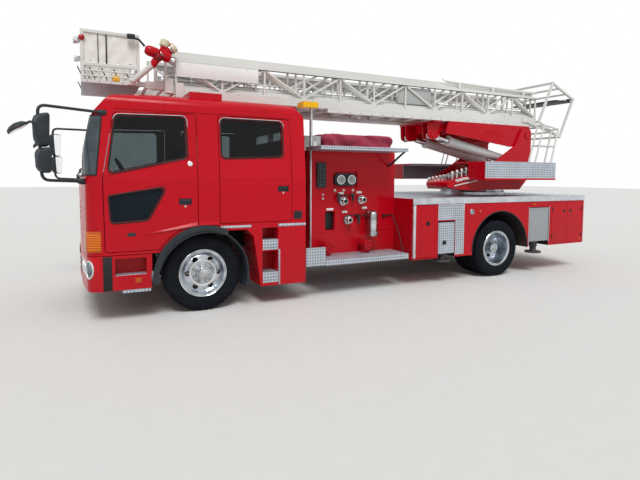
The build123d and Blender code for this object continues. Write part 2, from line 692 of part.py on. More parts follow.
def build_chassis():
    """Rails, cross members, outrigger boxes, axles and the engine."""
    inner = RAIL_OUTER - RAIL_WIDTH
    pieces = both(box(RAIL_REAR, RAIL_FRONT, inner, RAIL_OUTER, RAIL_BOTTOM, RAIL_TOP))
    crossings = (RAIL_FRONT - 60, PUMP_FRONT - 150, PUMP_REAR + 140, REAR_AXLE_X + 640, REAR_AXLE_X - 1160,
                 RAIL_REAR + 60)
    for x in crossings:
        pieces.append(box(x - 40, x + 40, -inner, inner, RAIL_TOP - 110, RAIL_TOP - 10))
    # Columns: X of each body mount, height it reaches
    mounts = ((860, CAB_REAR_BOTTOM), (-1080, CAB_REAR_BOTTOM), (PUMP_FRONT - 150, BODY_TUNNEL_TOP),
              (PUMP_REAR + 140, BODY_TUNNEL_TOP), (PUMP_REAR - 260, BODY_TUNNEL_TOP),
              (BODY_REAR + 290, BODY_TUNNEL_TOP))
    for x, top in mounts:
        pieces += both(box(x - 50, x + 50, inner, RAIL_OUTER, RAIL_TOP, top))
    for x in (OUTRIGGER_FRONT_X, OUTRIGGER_REAR_X):
        pieces.append(outrigger_box(x))
    node("chassis_frame", *pieces)
    nose = shaft_nose()
    casing = rod_y(REAR_AXLE_X, AXLE_Z, 75, -560, 560)
    casing += Pos(REAR_AXLE_X, 0, AXLE_Z) * Sphere(165)
    casing += tube((REAR_AXLE_X, 0, AXLE_Z), (nose.X, 0, nose.Z), SHAFT_RADIUS + 15)
    casing += rod_y(REAR_AXLE_X, AXLE_Z, SPINDLE_RADIUS, -REAR_OUTER_Y - 48, REAR_OUTER_Y + 48)
    springs = both(spring(600, 0, AXLE_Z + 5)) + both(spring(620, REAR_AXLE_X, AXLE_Z + 95))
    node("axles", front_beam(), casing, springs)
    gearbox_rear = -1500
    engine = fuse(box(-760, 560, -300, 300, 560, 900), box(gearbox_rear, -760, -190, 190, 560, 800))
    engine += rod_x(0, SHAFT_Z, SHAFT_RADIUS, SHAFT_BEND_X, gearbox_rear)
    engine += tube((SHAFT_BEND_X, 0, SHAFT_Z), (nose.X, 0, nose.Z), SHAFT_RADIUS)
    engine += Pos(SHAFT_BEND_X, 0, SHAFT_Z) * Sphere(SHAFT_RADIUS)
    node("engine_block", engine)


def outrigger_box(x):
    """The crosswise box that both beams of a pair slide in."""
    half = BEAM_SIZE + 2 * BEAM_SIDE_GAP
    high = BOX_TOP - BOX_WALL
    low = high - BEAM_SIZE - 2 * BEAM_PAD_GAP
    ends = IN
    outer = box(x - half - BOX_WALL, x + half + BOX_WALL, -ends, ends, low - BOX_WALL, BOX_TOP)
    return outer - box(x - half, x + half, -ends - 1, ends + 1, low, high)


# Columns: X of the jacks, half length, bottom and top of the cover, bottom and top of the body's slot
OUTRIGGERS = {
    "front": (OUTRIGGER_FRONT_X, 140, 420, 850, 870),
    "rear": (OUTRIGGER_REAR_X, 210, 490, 1005, 1015),
}


def build_outriggers():
    """Four sliding beams with their jacks."""
    high = BOX_TOP - BOX_WALL - BEAM_PAD_GAP
    low = high - BEAM_SIZE
    bore = BEAM_SIZE / 2 - BEAM_WALL
    for pair, (x, cover_half, cover_low, cover_high, _) in OUTRIGGERS.items():
        for name, side in (("left", 1), ("right", -1)):
            # Left beams run in front of right ones
            bx = x + side * (BEAM_SIZE / 2 + BEAM_SIDE_GAP)
            beam = box(bx - BEAM_SIZE / 2, bx + BEAM_SIZE / 2, -880 * side, (JACK_Y - 20) * side, low, high)
            hollow = (low + BEAM_WALL, high - BEAM_WALL)
            beam -= box(bx - bore, bx + bore, -890 * side, (JACK_Y - 90) * side, *hollow)
            casing = rod_z(x, side * JACK_Y, JACK_OUTER, JACK_BOTTOM, JACK_TOP)
            cover_in = side * (HALF_WIDTH - COVER_THICK)
            cover = box(x - cover_half, x + cover_half, cover_in, side * HALF_WIDTH, cover_low, cover_high)
            neck = box(x - 40, x + 40, side * JACK_Y, cover_in, 520, 760)
            body = fuse(beam, casing, neck, cover)
            body -= rod_z(x, side * JACK_Y, JACK_ROD + RUNNING_FIT, JACK_BOTTOM - 10, JACK_TOP - 20)
            node(f"outrigger_{pair}_{name}", body)
            rod = rod_z(x, side * JACK_Y, JACK_ROD, FOOT_BOTTOM + 10, JACK_TOP - 30)
            foot = rod_z(x, side * JACK_Y, FOOT_RADIUS, FOOT_BOTTOM, FOOT_BOTTOM + FOOT_THICK)
            node(f"jack_{pair}_{name}", rod, foot)


def along_bay(share):
    """The place a share of the way back along the pump bay."""
    return PUMP_FRONT - share * (PUMP_FRONT - PUMP_REAR)


def build_pump():
    """Pump house and its fittings."""
    house = box(PUMP_REAR, PUMP_FRONT, -PUMP_HALF, PUMP_HALF, PUMP_BOTTOM, PUMP_TOP)
    house -= box(PUMP_REAR - 10, PUMP_FRONT + 10, -TUNNEL_HALF, TUNNEL_HALF, 0, BODY_TUNNEL_TOP)
    slot = box(PUMP_FRONT - 350, PUMP_FRONT - 210, PUMP_HALF - 60, PUMP_HALF + 10, 770, 1015)
    gauge_low, gauge_high, gauge_front, gauge_rear = 1350.0, 1510.0, PUMP_FRONT - 340, PUMP_FRONT - 675
    gauge_sink = PUMP_HALF - 30
    recess = box(gauge_rear - 15, gauge_front + 15, gauge_sink, PUMP_HALF + 10, gauge_low - 20, gauge_high + 20)
    for cut in both(slot) + both(recess):
        house -= cut
    node("pump_house", house)
    fittings = []
    mouth = PUMP_HALF + FLANGE_THICK + COUPLING_LENGTH
    # Columns: how far along the bay, height of each outlet
    for share, z in ((0.3566, 1150), (0.5736, 1165), (0.4109, 900)):
        x = along_bay(share)
        fittings.append(rod_y(x, z, COUPLING_RADIUS + 22, PUMP_HALF, PUMP_HALF + FLANGE_THICK))
        fittings.append(rod_y(x, z, COUPLING_RADIUS, PUMP_HALF, mouth))
    elbow_x, elbow_z, elbow_y = along_bay(0.6667), 960.0, PUMP_HALF + 130
    fittings.append(rod_y(elbow_x, elbow_z, ELBOW_RADIUS, PUMP_HALF, elbow_y))
    fittings.append(Pos(elbow_x, elbow_y, elbow_z) * Sphere(ELBOW_RADIUS))
    fittings.append(rod_z(elbow_x, elbow_y, ELBOW_RADIUS, 720, elbow_z))
    fittings.append(rod_z(elbow_x, elbow_y, ELBOW_RADIUS + 12, 690, 740))
    corner = 70.0
    bezel = outline([(gauge_rear, gauge_low, corner), (gauge_rear, gauge_high, corner),
                     (gauge_front, gauge_high, corner), (gauge_front, gauge_low, corner)])
    fittings.append(prism_y(bezel, gauge_sink, PUMP_HALF + 12))
    for x in (gauge_front - 88, gauge_rear + 88):
        fittings.append(rod_y(x, (gauge_low + gauge_high) / 2, DIAL_RADIUS, PUMP_HALF, PUMP_HALF + 26))
    fittings.append(box(PUMP_FRONT - 210, PUMP_FRONT - 80, PUMP_HALF, PUMP_HALF + 25, 1330, 1650))
    # Columns: how far along the bay, height of each valve lever
    for share, z in ((0.2946, 1240), (0.4651, 1240), (0.5349, 940)):
        x = along_bay(share)
        fittings.append(rod_y(x, z, 16, PUMP_HALF, PUMP_HALF + 60))
        fittings.append(box(x - 14, x + 14, PUMP_HALF + 44, PUMP_HALF + 60, z - 90, z))
    # How far along the bay each capped hydrant stands on the step
    for share in (0.1318, 0.5814):
        x = along_bay(share)
        fittings.append(box(x - 45, x + 45, PUMP_HALF + 60, PUMP_HALF + 150, STEP_TOP, 520))
        fittings.append(rod_y(x, 575, 62, PUMP_HALF + 40, PUMP_HALF + 190))
    node("pump_fittings", both(fuse(*fittings)))


def build_bay_treads():
    """Bright canopies, steps and panels round the pump bay and under the cab."""
    canopy_low = PUMP_TOP - 5
    canopy = box(CANOPY_REAR, CANOPY_FRONT, PUMP_HALF, HALF_WIDTH, canopy_low, canopy_low + CANOPY_THICK)
    # A slanted stay in Y and Z from the house up to the canopy's rear corner
    stay = outline([(PUMP_HALF, 1600, 0), (PUMP_HALF, 1600 + CANOPY_STAY, 0), (HALF_WIDTH - 90, canopy_low, 0),
                    (HALF_WIDTH - 50, canopy_low, 0)])
    canopy += prism_x(stay, CANOPY_REAR, CANOPY_REAR + CANOPY_STAY)
    step_rear = PUMP_REAR + 60
    step = box(step_rear, PUMP_FRONT, PUMP_HALF, HALF_WIDTH, STEP_TOP - STEP_THICK, STEP_TOP)
    step += box(step_rear, PUMP_FRONT, PUMP_HALF - 30, PUMP_HALF + 20, PUMP_BOTTOM - 70, PUMP_BOTTOM)
    step += box(PUMP_FRONT - 5, CAB_REAR - 15, HALF_WIDTH - 50, HALF_WIDTH - 10, 400, 620)
    cab_step = box(550, 820, HALF_WIDTH - 140, HALF_WIDTH, BUMPER_BOTTOM - 30, BUMPER_BOTTOM)
    locker = box(HOSE_COVER_FRONT + 10, PUMP_FRONT + 60, -PUMP_HALF + 60, PUMP_HALF - 60, PUMP_TOP, 1990)
    node("bay_treads", both(canopy), both(step), both(cab_step), locker)
    cover = box(PUMP_REAR - 20, HOSE_COVER_FRONT, -PUMP_HALF, PUMP_HALF, PUMP_TOP, HOSE_COVER_TOP)
    node("hose_cover", fillet(cover.edges().filter_by(Axis.X).sort_by(Axis.Z)[-2:], 70))


def rear_body_form():
    """The rear body with its wheel wells, outrigger slots and lockers cut."""
    step_x = REAR_AXLE_X - 540
    # Columns: X, Z, corner radius
    face = outline([(PUMP_REAR, DECK_Z, 0), (BODY_REAR, DECK_Z, 0), (BODY_REAR, BODY_BOTTOM_REAR, 25),
                    (step_x, BODY_BOTTOM_REAR, 0), (step_x, BODY_BOTTOM_FRONT, 0),
                    (PUMP_REAR, BODY_BOTTOM_FRONT, 0)])
    body = prism_y(face, -HALF_WIDTH, HALF_WIDTH)
    body -= box(BODY_REAR - 10, PUMP_REAR + 10, -TUNNEL_HALF, TUNNEL_HALF, 0, BODY_TUNNEL_TOP)
    arch = disc(REAR_AXLE_X, AXLE_Z, REAR_ARCH_RADIUS)
    arch += rect(REAR_AXLE_X - REAR_ARCH_RADIUS, REAR_AXLE_X + REAR_ARCH_RADIUS, 0, AXLE_Z)
    cuts = [prism_y(arch, WELL_INNER, OUT)]
    cuts.append(box(REAR_AXLE_X - 260, REAR_AXLE_X + 260, TUNNEL_HALF - 10, WELL_INNER + 10, 0, 740))
    for x, cover_half, _, _, slot_top in OUTRIGGERS.values():
        cuts.append(box(x - cover_half - 8, x + cover_half + 8, TUNNEL_HALF - 10, OUT, 0, slot_top))
    locker_rear = PUMP_REAR - LOCKER_LENGTH
    cuts.append(box(locker_rear + 35, PUMP_REAR - LOCKER_WALL, HALF_WIDTH - LOCKER_DEPTH, OUT, 405, 1095))
    cuts.append(box(locker_rear, PUMP_REAR, HALF_WIDTH - 25, OUT, 380, 1103))
    for cut in cuts:
        for item in both(cut):
            body -= item
    return body


def seams():
    """Shallow grooves round the rear compartments' doors on one side and round the tail hatch."""
    low, high, rear, front = 440.0, 1070.0, BODY_REAR + 40, OUTRIGGER_REAR_X - 285
    y0 = HALF_WIDTH - SEAM_DEPTH
    grooves = []
    for x in (rear, (rear + front) / 2, front):
        grooves.append(box(x - SEAM / 2, x + SEAM / 2, y0, OUT, low, high))
    for z in (low, high):
        grooves.append(box(rear, front, y0, OUT, z - SEAM / 2, z + SEAM / 2))
    hatch = 620.0
    hatch_x = BODY_REAR + SEAM_DEPTH
    grooves.append(box(BODY_REAR - 10, hatch_x, hatch - SEAM, hatch, 930, high))
    for z in (930, high):
        grooves.append(box(BODY_REAR - 10, hatch_x, -1, hatch, z - SEAM / 2, z + SEAM / 2))
    return grooves


def build_rear_body():
    """Rear body with its deck edge, lockers and the fixed slewing ring."""
    body = rear_body_form()
    for groove in seams():
        for item in both(groove):
            body -= item
    locker_rear = PUMP_REAR - LOCKER_LENGTH
    leaf_face = rect(locker_rear + HINGE_GAP, PUMP_REAR - 6, 386, 1097)
    leaf = prism_y(leaf_face, HALF_WIDTH - 19, HALF_WIDTH)
    node("locker_door_left", leaf)
    node("locker_door_right", mirrored(leaf))
    out, top = HALF_WIDTH + MOULDING, DECK_Z + DECK_TREAD
    edges = both(box(BODY_REAR - MOULDING, PUMP_REAR, HALF_WIDTH, out, MOULDING_LOW, top))
    edges += both(box(BODY_REAR - MOULDING, PUMP_REAR, HALF_WIDTH - 40, out, DECK_Z, top))
    edges.append(box(BODY_REAR - MOULDING, BODY_REAR, -out, out, MOULDING_LOW, top))
    treads = both(box(BODY_REAR + 20, SLEW_X - 660, 60, HALF_WIDTH - DECK_EDGE, DECK_Z, top))
    node("rear_body", body, edges, treads)
    ring = rod_z(SLEW_X, 0, SLEW_RADIUS, DECK_Z, SLEW_BASE_TOP)
    node("slew_ring", ring - rod_z(SLEW_X, 0, SLEW_BORE, DECK_Z - 5, SLEW_BASE_TOP + 5))


def cylinder_frame():
    """Foot, eye and direction of the lift cylinders at rest."""
    foot = Vector(PIVOT_X + CYL_FOOT_DX, 0, PIVOT_Z + CYL_FOOT_DZ)
    eye = Vector(PIVOT_X + CYL_EYE_DX, 0, PIVOT_Z + CYL_EYE_DZ)
    return foot, eye, (eye - foot).normalized()


def build_turntable():
    """The turning base with its turret and the lift cylinders' feet."""
    base = rod_z(SLEW_X, 0, SLEW_RADIUS - 20, SLEW_BASE_TOP + SLEW_GAP, TURNTABLE_TOP)
    low, front, rear = TURNTABLE_TOP - 10, SLEW_X + 560, PIVOT_X - 90
    # Columns: X, Z, corner radius
    side_face = outline([(front, low, 0), (front, 1420, 60), (SLEW_X + 110, 1640, 0),
                         (PIVOT_X + 280, PIVOT_Z - 190, 0),
                         (PIVOT_X + 120, PIVOT_Z + 100, 40), (rear, PIVOT_Z + 100, 60), (rear, 1500, 0),
                         (PIVOT_X + 150, low, 0)])
    plate = prism_y(side_face, TURRET_INNER, TURRET_INNER + TURRET_PLATE)
    plate -= rod_y(PIVOT_X, PIVOT_Z, PIVOT_RADIUS + RUNNING_FIT, TURRET_INNER - 5, OUT)
    turret_out = TURRET_INNER + TURRET_PLATE
    floor = box(PIVOT_X + 150, front, -turret_out, turret_out, low, TURNTABLE_TOP + 20)
    rear_tie = box(rear, rear + 30, -TURRET_INNER, TURRET_INNER, 1500, 1660)
    foot, _, _ = cylinder_frame()
    lug_thick, lug_gap = 25.0, 2.0
    inner_lug = CYL_Y - CYL_EYE_WIDTH / 2 - lug_thick - lug_gap
    outer_lug = CYL_Y + CYL_EYE_WIDTH / 2 + lug_gap
    lug_face = outline([(foot.X - 90, TURNTABLE_TOP, 0), (foot.X - 60, foot.Z + 50, 0),
                        (foot.X + 60, foot.Z + 50, 0), (foot.X + 150, TURNTABLE_TOP, 0)])
    pins = both(rod_y(foot.X, foot.Z, CYL_PIN, inner_lug, TURRET_INNER + 5))
    lugs = both(prism_y(lug_face, inner_lug, inner_lug + lug_thick))
    lugs += both(prism_y(lug_face, outer_lug, outer_lug + lug_thick))
    node("turntable", base, floor, both(plate), rear_tie, lugs, pins)


def build_turntable_fittings():
    """Walkway skirts and the lever console on the turntable."""
    inner, low = TURRET_INNER + TURRET_PLATE, PLATFORM_TOP - PLATFORM_SKIRT
    under = PLATFORM_TOP - PLATFORM_THICK
    rear, front, skirt = PIVOT_X + 120, SLEW_X + 860, 20.0
    walkway = box(rear, front, inner, HALF_WIDTH, under, PLATFORM_TOP)
    walkway += box(rear, front, HALF_WIDTH - skirt, HALF_WIDTH, low, under)
    walkway += box(rear, rear + skirt, inner, HALF_WIDTH - skirt, low, under)
    walkway += box(front - skirt, front, CONSOLE_OUTER + 6, HALF_WIDTH - skirt, low, under)
    node("platforms", both(walkway))
    nose, heel = SLEW_X + 1240, SLEW_X + 560
    # Columns: X, Z, corner radius
    wedge = outline([(heel, 1255, 0), (nose - 120, 1300, 40), (nose, 1330, 20), (nose, 1400, 30),
                     (heel, 1560, 0)])
    console = prism_y(wedge, 320, CONSOLE_OUTER)
    console += box(SLEW_X - 130, heel, inner, CONSOLE_OUTER, TURNTABLE_TOP + 5, 1600)
    for index in range(LEVERS):
        x = heel + 90 + index * 90
        foot = 1540 - index * 21
        console += rod_z(x, CONSOLE_OUTER - 60, 8, foot - 30, foot + 80)
        console += rod_z(x, CONSOLE_OUTER - 60, 17, foot + 80, foot + 115)
    node("lever_console", console)


def build_lift():
    """Lift cylinders: barrels that swing on the turntable and rods that slide in them."""
    foot, eye, way = cylinder_frame()
    length = (eye - foot).length
    barrels, rods = [], []
    for side in (1, -1):
        y = side * CYL_Y
        y0, y1 = y - CYL_EYE_WIDTH / 2, y + CYL_EYE_WIDTH / 2
        start, far = foot + way * 20, foot + way * (length - 360)
        body = tube((start.X, y, start.Z), (far.X, y, far.Z), CYL_OUTER)
        gland = far - way * 45
        body += tube((gland.X, y, gland.Z), (far.X, y, far.Z), CYL_OUTER + 9)
        eye_end = rod_y(foot.X, foot.Z, CYL_EYE_RADIUS, y0, y1)
        neck = bar((foot.X, foot.Z), (foot.X + way.X * 120, foot.Z + way.Z * 120), 90, y0, y1)
        cut = foot + way * 95
        body -= tube((foot.X - way.X * 40, y, foot.Z - way.Z * 40), (cut.X, y, cut.Z), CYL_OUTER + 5)
        bore = foot + way * 140
        body -= tube((bore.X, y, bore.Z), (far.X + way.X, y, far.Z + way.Z), CYL_ROD + RUNNING_FIT)
        barrels.append(fuse(body, eye_end, neck) - rod_y(foot.X, foot.Z, CYL_PIN + RUNNING_FIT, y - 50, y + 50))
        low, tip, back = foot + way * 160, foot + way * (length - CYL_NECK), eye - way * (CYL_NECK + 10)
        rod = tube((low.X, y, low.Z), (tip.X, y, tip.Z), CYL_ROD)
        rod += bar((back.X, back.Z), (eye.X, eye.Z), 70, y0, y1)
        rod += rod_y(eye.X, eye.Z, CYL_EYE_RADIUS, y0, y1)
        rods.append(rod)
    node("lift_barrels", *barrels)
    node("lift_rods", *rods)


def build_lifting_frame():
    """The frame that carries the ladder and rises about the pivot."""
    top, rear, front = BASE_RAIL_BOTTOM, PIVOT_X - 90, PIVOT_X + 2310
    # Columns: X, Z, corner radius
    face = outline([(front, top, 0), (front, 2230, 40), (PIVOT_X + 1960, 2060, 60), (PIVOT_X + 1770, 2060, 40),
                    (PIVOT_X + 1500, PIVOT_Z, 0), (PIVOT_X + 400, 2075, 0), (PIVOT_X + 100, 2070, 40),
                    (rear, 2100, 60), (rear, top, 0)])
    plate_out, plate_thick = TURRET_INNER - 5, 25.0
    plate = prism_y(face, plate_out - plate_thick, plate_out)
    trunnion = rod_y(PIVOT_X, PIVOT_Z, PIVOT_RADIUS, plate_out - 20, TURRET_INNER + TURRET_PLATE + 15)
    low_y = plate_out - plate_thick
    deck = box(rear, PIVOT_X + 1000, -low_y, low_y, top - 10, top)
    nose = box(front - 210, front, -low_y, low_y, top - 30, top)
    middle = box(PIVOT_X + 1000, front - 210, low_y - 60, low_y, top - 10, top)
    tie = rod_y(PIVOT_X, PIVOT_Z, PIVOT_RADIUS, -low_y, low_y)
    _, eye, _ = cylinder_frame()
    bridge = box(eye.X - 110, eye.X + 110, -low_y, low_y, top - 35, top)
    cheek_face = outline([(eye.X - 100, top - 30, 0), (eye.X + 100, top - 30, 0), (eye.X + 55, eye.Z - 65, 30),
                          (eye.X - 55, eye.Z - 65, 30)])
    inner_cheek = CYL_Y - CYL_EYE_WIDTH / 2 - CYL_CHEEK_GAP - CYL_CHEEK
    outer_cheek = CYL_Y + CYL_EYE_WIDTH / 2 + CYL_CHEEK_GAP
    cheeks = both(prism_y(cheek_face, inner_cheek, inner_cheek + CYL_CHEEK))
    cheeks += both(prism_y(cheek_face, outer_cheek, outer_cheek + CYL_CHEEK))
    for y in (inner_cheek - 12, outer_cheek + CYL_CHEEK):
        cheeks += both(rod_y(eye.X, eye.Z, 38, y, y + 12))
    node("lifting_frame", both(plate), both(trunnion), deck, nose, both(middle), tie, bridge, cheeks)


def section_front(index):
    """Front end of a ladder section at rest."""
    return LADDER_REAR + LADDER_SECTION_LENGTH + index * SECTION_STEP_FRONT


def ladder_section(index):
    """One lattice section: two side frames joined by rungs."""
    half = SECTION_HALF - index * SECTION_STEP_Y
    bottom = SECTION_BOTTOM + index * SECTION_STEP_Z
    top = SECTION_TOP + index * SECTION_STEP_Z
    rear, front = LADDER_REAR + index * SECTION_STEP_X, section_front(index)
    rail_top = bottom + LADDER_RAIL_HIGH
    y0, y1 = half - RAIL_W, half
    side = box(rear, front, y0, y1, bottom, rail_top)
    side += box(rear, front, y0 + 2, y1 - 2, top - CHORD, top)
    panels = round((front - rear) / BRACE_PITCH)
    pitch = (front - rear - BRACE) / panels
    b0, b1 = y0 + 8, y1 - 8
    web = box(rear, front, b0, b1, rail_top - 5, top - CHORD + 5)
    for panel in range(panels + 1):
        x = rear + BRACE / 2 + panel * pitch
        side += box(x - BRACE / 2, x + BRACE / 2, b0, b1, rail_top - 5, top - CHORD + 5)
        if panel < panels:
            ends = [(x, rail_top), (x + pitch, top - CHORD)]
            if panel % 2:
                ends = [(x, top - CHORD), (x + pitch, rail_top)]
            side += bar(*ends, BRACE, b0, b1) & web
    if index + 1 < LADDER_SECTIONS:
        side += box(front - COLLAR_LENGTH, front, y1 - 5, y1 + COLLAR_PROUD, bottom, rail_top + 60)
    pieces = both(side)
    end_gap = 100.0
    spaces = int((front - rear - 2 * end_gap) / RUNG_PITCH)
    for rung in range(spaces + 1):
        x = rear + end_gap + rung * (front - rear - 2 * end_gap) / spaces
        pieces.append(box(x - RUNG / 2, x + RUNG / 2, -y0, y0, bottom + 3, bottom + 3 + RUNG))
    if index + 1 < LADDER_SECTIONS:
        for x in (rear + 200, (rear + front) / 2, front - 120):
            pieces += both(box(x, x + 80, y0 - 45, y0, bottom + 3, bottom + SECTION_STEP_Z - PAD_GAP))
    return fuse(*pieces)


def tip_hinge():
    """The basket's hinge: X, Z and the half width between the last section's rails."""
    last = LADDER_SECTIONS - 1
    half = SECTION_HALF - last * SECTION_STEP_Y
    return section_front(last) + HINGE_AHEAD, SECTION_BOTTOM + last * SECTION_STEP_Z + 50, half


def tip_lugs():
    """Plates at the ladder's tip that hold the basket's hinge."""
    x, z, half = tip_hinge()
    lug = box(x - HINGE_AHEAD, x + 34, half - RAIL_W, half, z - 48, z + 34)
    return both(lug - rod_y(x, z, HINGE_RADIUS + RUNNING_FIT, half - RAIL_W - 5, half + 5))


def build_ladder():
    """Ladder sections with their deep base rails."""
    for index in range(LADDER_SECTIONS):
        section = ladder_section(index)
        if index == LADDER_SECTIONS - 1:
            section = fuse(section, tip_lugs())
        node(f"ladder_{index + 1}", section)
    rail_in = SECTION_HALF - RAIL_W
    deep = box(LADDER_REAR, BASE_RAIL_FRONT, rail_in, SECTION_HALF, BASE_RAIL_BOTTOM, SECTION_BOTTOM)
    node("base_rails", both(deep))


def build_guard():
    """The cage of bars round the ladder's rear end."""
    # Columns: distance behind the ladder's rear end, Z of each corner
    corners = [(LADDER_REAR - behind, z) for behind, z in ((340, 3100), (880, 2860), (560, 2180), (25, 2420))]
    half_bar, out = GUARD_BAR / 2, GUARD_Y + GUARD_BAR
    guard = []
    for index, corner in enumerate(corners):
        x, z = corner
        guard += both(bar(corner, corners[(index + 1) % 4], GUARD_BAR, GUARD_Y, out))
        guard += both(box(x - 20, x + 20, GUARD_Y, out, z - 20, z + 20))
        guard.append(box(x - half_bar, x + half_bar, -GUARD_Y - 10, GUARD_Y + 10, z - half_bar, z + half_bar))
    for part in (0.33, 0.67):
        for first, second in ((0, 1), (3, 2)):
            x = corners[first][0] + part * (corners[second][0] - corners[first][0])
            z = corners[first][1] + part * (corners[second][1] - corners[first][1])
            guard.append(box(x - 14, x + 14, -GUARD_Y - 10, GUARD_Y + 10, z - 14, z + 14))
    stay_front, stay_rear = (LADDER_REAR + 290, 2440), (LADDER_REAR - 570, 2200)
    guard += both(bar(stay_front, stay_rear, 50, SECTION_HALF + 2, GUARD_Y))
    guard += both(box(LADDER_REAR + 150, LADDER_REAR + 350, SECTION_HALF, GUARD_Y, 2400, 2480))
    node("rear_guard", *guard)


def build_basket():
    """The tip basket: tube frame, floor, cloth panels and the water monitor beside it."""
    hinge_x, hinge_z, half = tip_hinge()
    low = hinge_z - BASKET_BELOW
    x0 = hinge_x + BASKET_AHEAD
    x1 = x0 + BASKET_LENGTH
    inner, tube_size = BASKET_HALF - BASKET_TUBE, BASKET_TUBE
    frame = [rod_y(hinge_x, hinge_z, HINGE_RADIUS, -half - 6, half + 6)]
    for z in (low, low + BASKET_MIDDLE, low + BASKET_TOP):
        frame += both(box(x0, x1, inner, BASKET_HALF, z, z + tube_size))
        for x in (x0, x1 - tube_size):
            frame.append(box(x, x + tube_size, -inner, inner, z, z + tube_size))
    for x in (x0, x1 - tube_size):
        frame += both(box(x, x + tube_size, inner, BASKET_HALF, low, low + BASKET_TOP + tube_size))
    for part in (0.25, 0.5, 0.75):
        x = x0 + part * BASKET_LENGTH
        frame += both(box(x - 10, x + 10, inner + 5, BASKET_HALF - 5, low + tube_size, low + BASKET_MIDDLE))
    frame.append(box(x0, x1, -inner, inner, low, low + 18))
    arm_out = half - RAIL_W - 8
    frame += both(box(hinge_x - 28, x0 + 5, arm_out - 27, arm_out, hinge_z - 28, hinge_z + 28))
    frame += monitor(x0, low)
    node("basket_frame", frame)
    gap = tube_size + CLOTH_GAP
    bottom, top = low + BASKET_MIDDLE + gap, low + BASKET_TOP - CLOTH_GAP
    cloth_in = inner + (tube_size - CLOTH_THICK) / 2
    panels = both(box(x0 + gap, x1 - gap, cloth_in, cloth_in + CLOTH_THICK, bottom, top))
    panels.append(box(x1 - 24, x1 - 6, -inner + CLOTH_GAP, inner - CLOTH_GAP, bottom, top))
    node("basket_panels", *panels)


def monitor(x0, low):
    """The water monitor on its slanted arm at the basket's rear left corner."""
    y = BASKET_HALF + 45
    foot, elbow = (x0 + 90, y, low + 30), (x0 - 135, y, low + 245)
    head, muzzle = (x0 - 190, y, low + 330), (x0 - 330, y, low + 430)
    cap = (x0 - 375, y, low + 462)
    pieces = [tube(foot, elbow, 32), Pos(*elbow) * Sphere(40), tube(elbow, head, 40), Pos(*head) * Sphere(52)]
    pieces += [tube(head, muzzle, 44), tube(muzzle, cap, 54)]
    pieces.append(box(x0 + 50, x0 + 130, BASKET_HALF - 5, y, low + 2, low + 58))
    return pieces


def build_rest_and_roof():
    """Ladder rest behind the cab, the boxes on the roof and the working lamp behind it."""
    rest_x, leg_y, leg, top = -1310.0, 340.0, 30.0, 2300.0
    legs = both(box(rest_x - leg, rest_x + leg, leg_y - 40, leg_y + 40, RAIL_TOP, top))
    legs += both(box(rest_x - leg, rest_x + leg, RAIL_OUTER - RAIL_WIDTH, RAIL_OUTER, RAIL_TOP, RAIL_TOP + 60))
    beam = box(rest_x - 40, rest_x + 40, -SECTION_HALF - 10, SECTION_HALF + 10, top, top + 45)
    pads = both(box(rest_x - 40, rest_x + 40, SECTION_HALF - 50, SECTION_HALF + 10, top + 45,
                    SECTION_BOTTOM - 8))
    node("ladder_rest", legs, beam, pads)
    roof_top = SECTION_BOTTOM - 14
    boxes = [shape - cab_form(0) for shape in both(box(-240, 110, 560, 1000, CAB_ROOF - 16, roof_top))]
    lamp_x, lamp_y, half = PUMP_FRONT + 120, HALF_WIDTH - 260, 100.0
    lamp = box(lamp_x - half, lamp_x + half, lamp_y - 90, lamp_y + 90, top, roof_top)
    lamp += box(lamp_x - 30, CANOPY_FRONT - 5, lamp_y - 20, lamp_y + 20, PUMP_TOP, top)
    canopy_top = PUMP_TOP - 5 + CANOPY_THICK
    lamp += box(CANOPY_FRONT - 60, CANOPY_FRONT - 5, lamp_y - 40, lamp_y + 40, canopy_top, 1900)
    lamp -= box(lamp_x - 100, CANOPY_FRONT + 200, lamp_y - 50, lamp_y + 50, 0, canopy_top)
    node("roof_boxes", boxes, lamp)


def main():
    """Build every piece and write one file for each."""
    build_cab()
    build_front()
    build_arches()
    build_skirts()
    build_mirrors()
    build_wheels()
    build_knuckles()
    build_chassis()
    build_outriggers()
    build_pump()
    build_bay_treads()
    build_rear_body()
    build_turntable()
    build_turntable_fittings()
    build_lift()
    build_lifting_frame()
    build_ladder()
    build_guard()
    build_basket()
    build_rest_and_roof()
    reaches = [shape.bounding_box() for shape in parts.values()]
    middle = (max(reach.max.X for reach in reaches) + min(reach.min.X for reach in reaches)) / 2
    print("shift", -middle)
    os.makedirs("parts", exist_ok=True)
    for name, shape in parts.items():
        export_step(Pos(-middle, 0, 0) * shape, f"parts/{name}.step")


main()
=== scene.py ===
"""Dresses a double-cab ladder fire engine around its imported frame.

Lengths are metres. X runs forward, Y to the left and Z up from the ground, as in the frame, and
places are given from the ground under the front axle, which `at` moves into the frame.
"""
from __future__ import annotations

import logging
import math
from collections.abc import Callable, Mapping, Sequence
from dataclasses import dataclass
from enum import Enum
from typing import ClassVar

import bmesh
import bpy
from mathutils import Matrix, Vector, noise
from mathutils.bvhtree import BVHTree


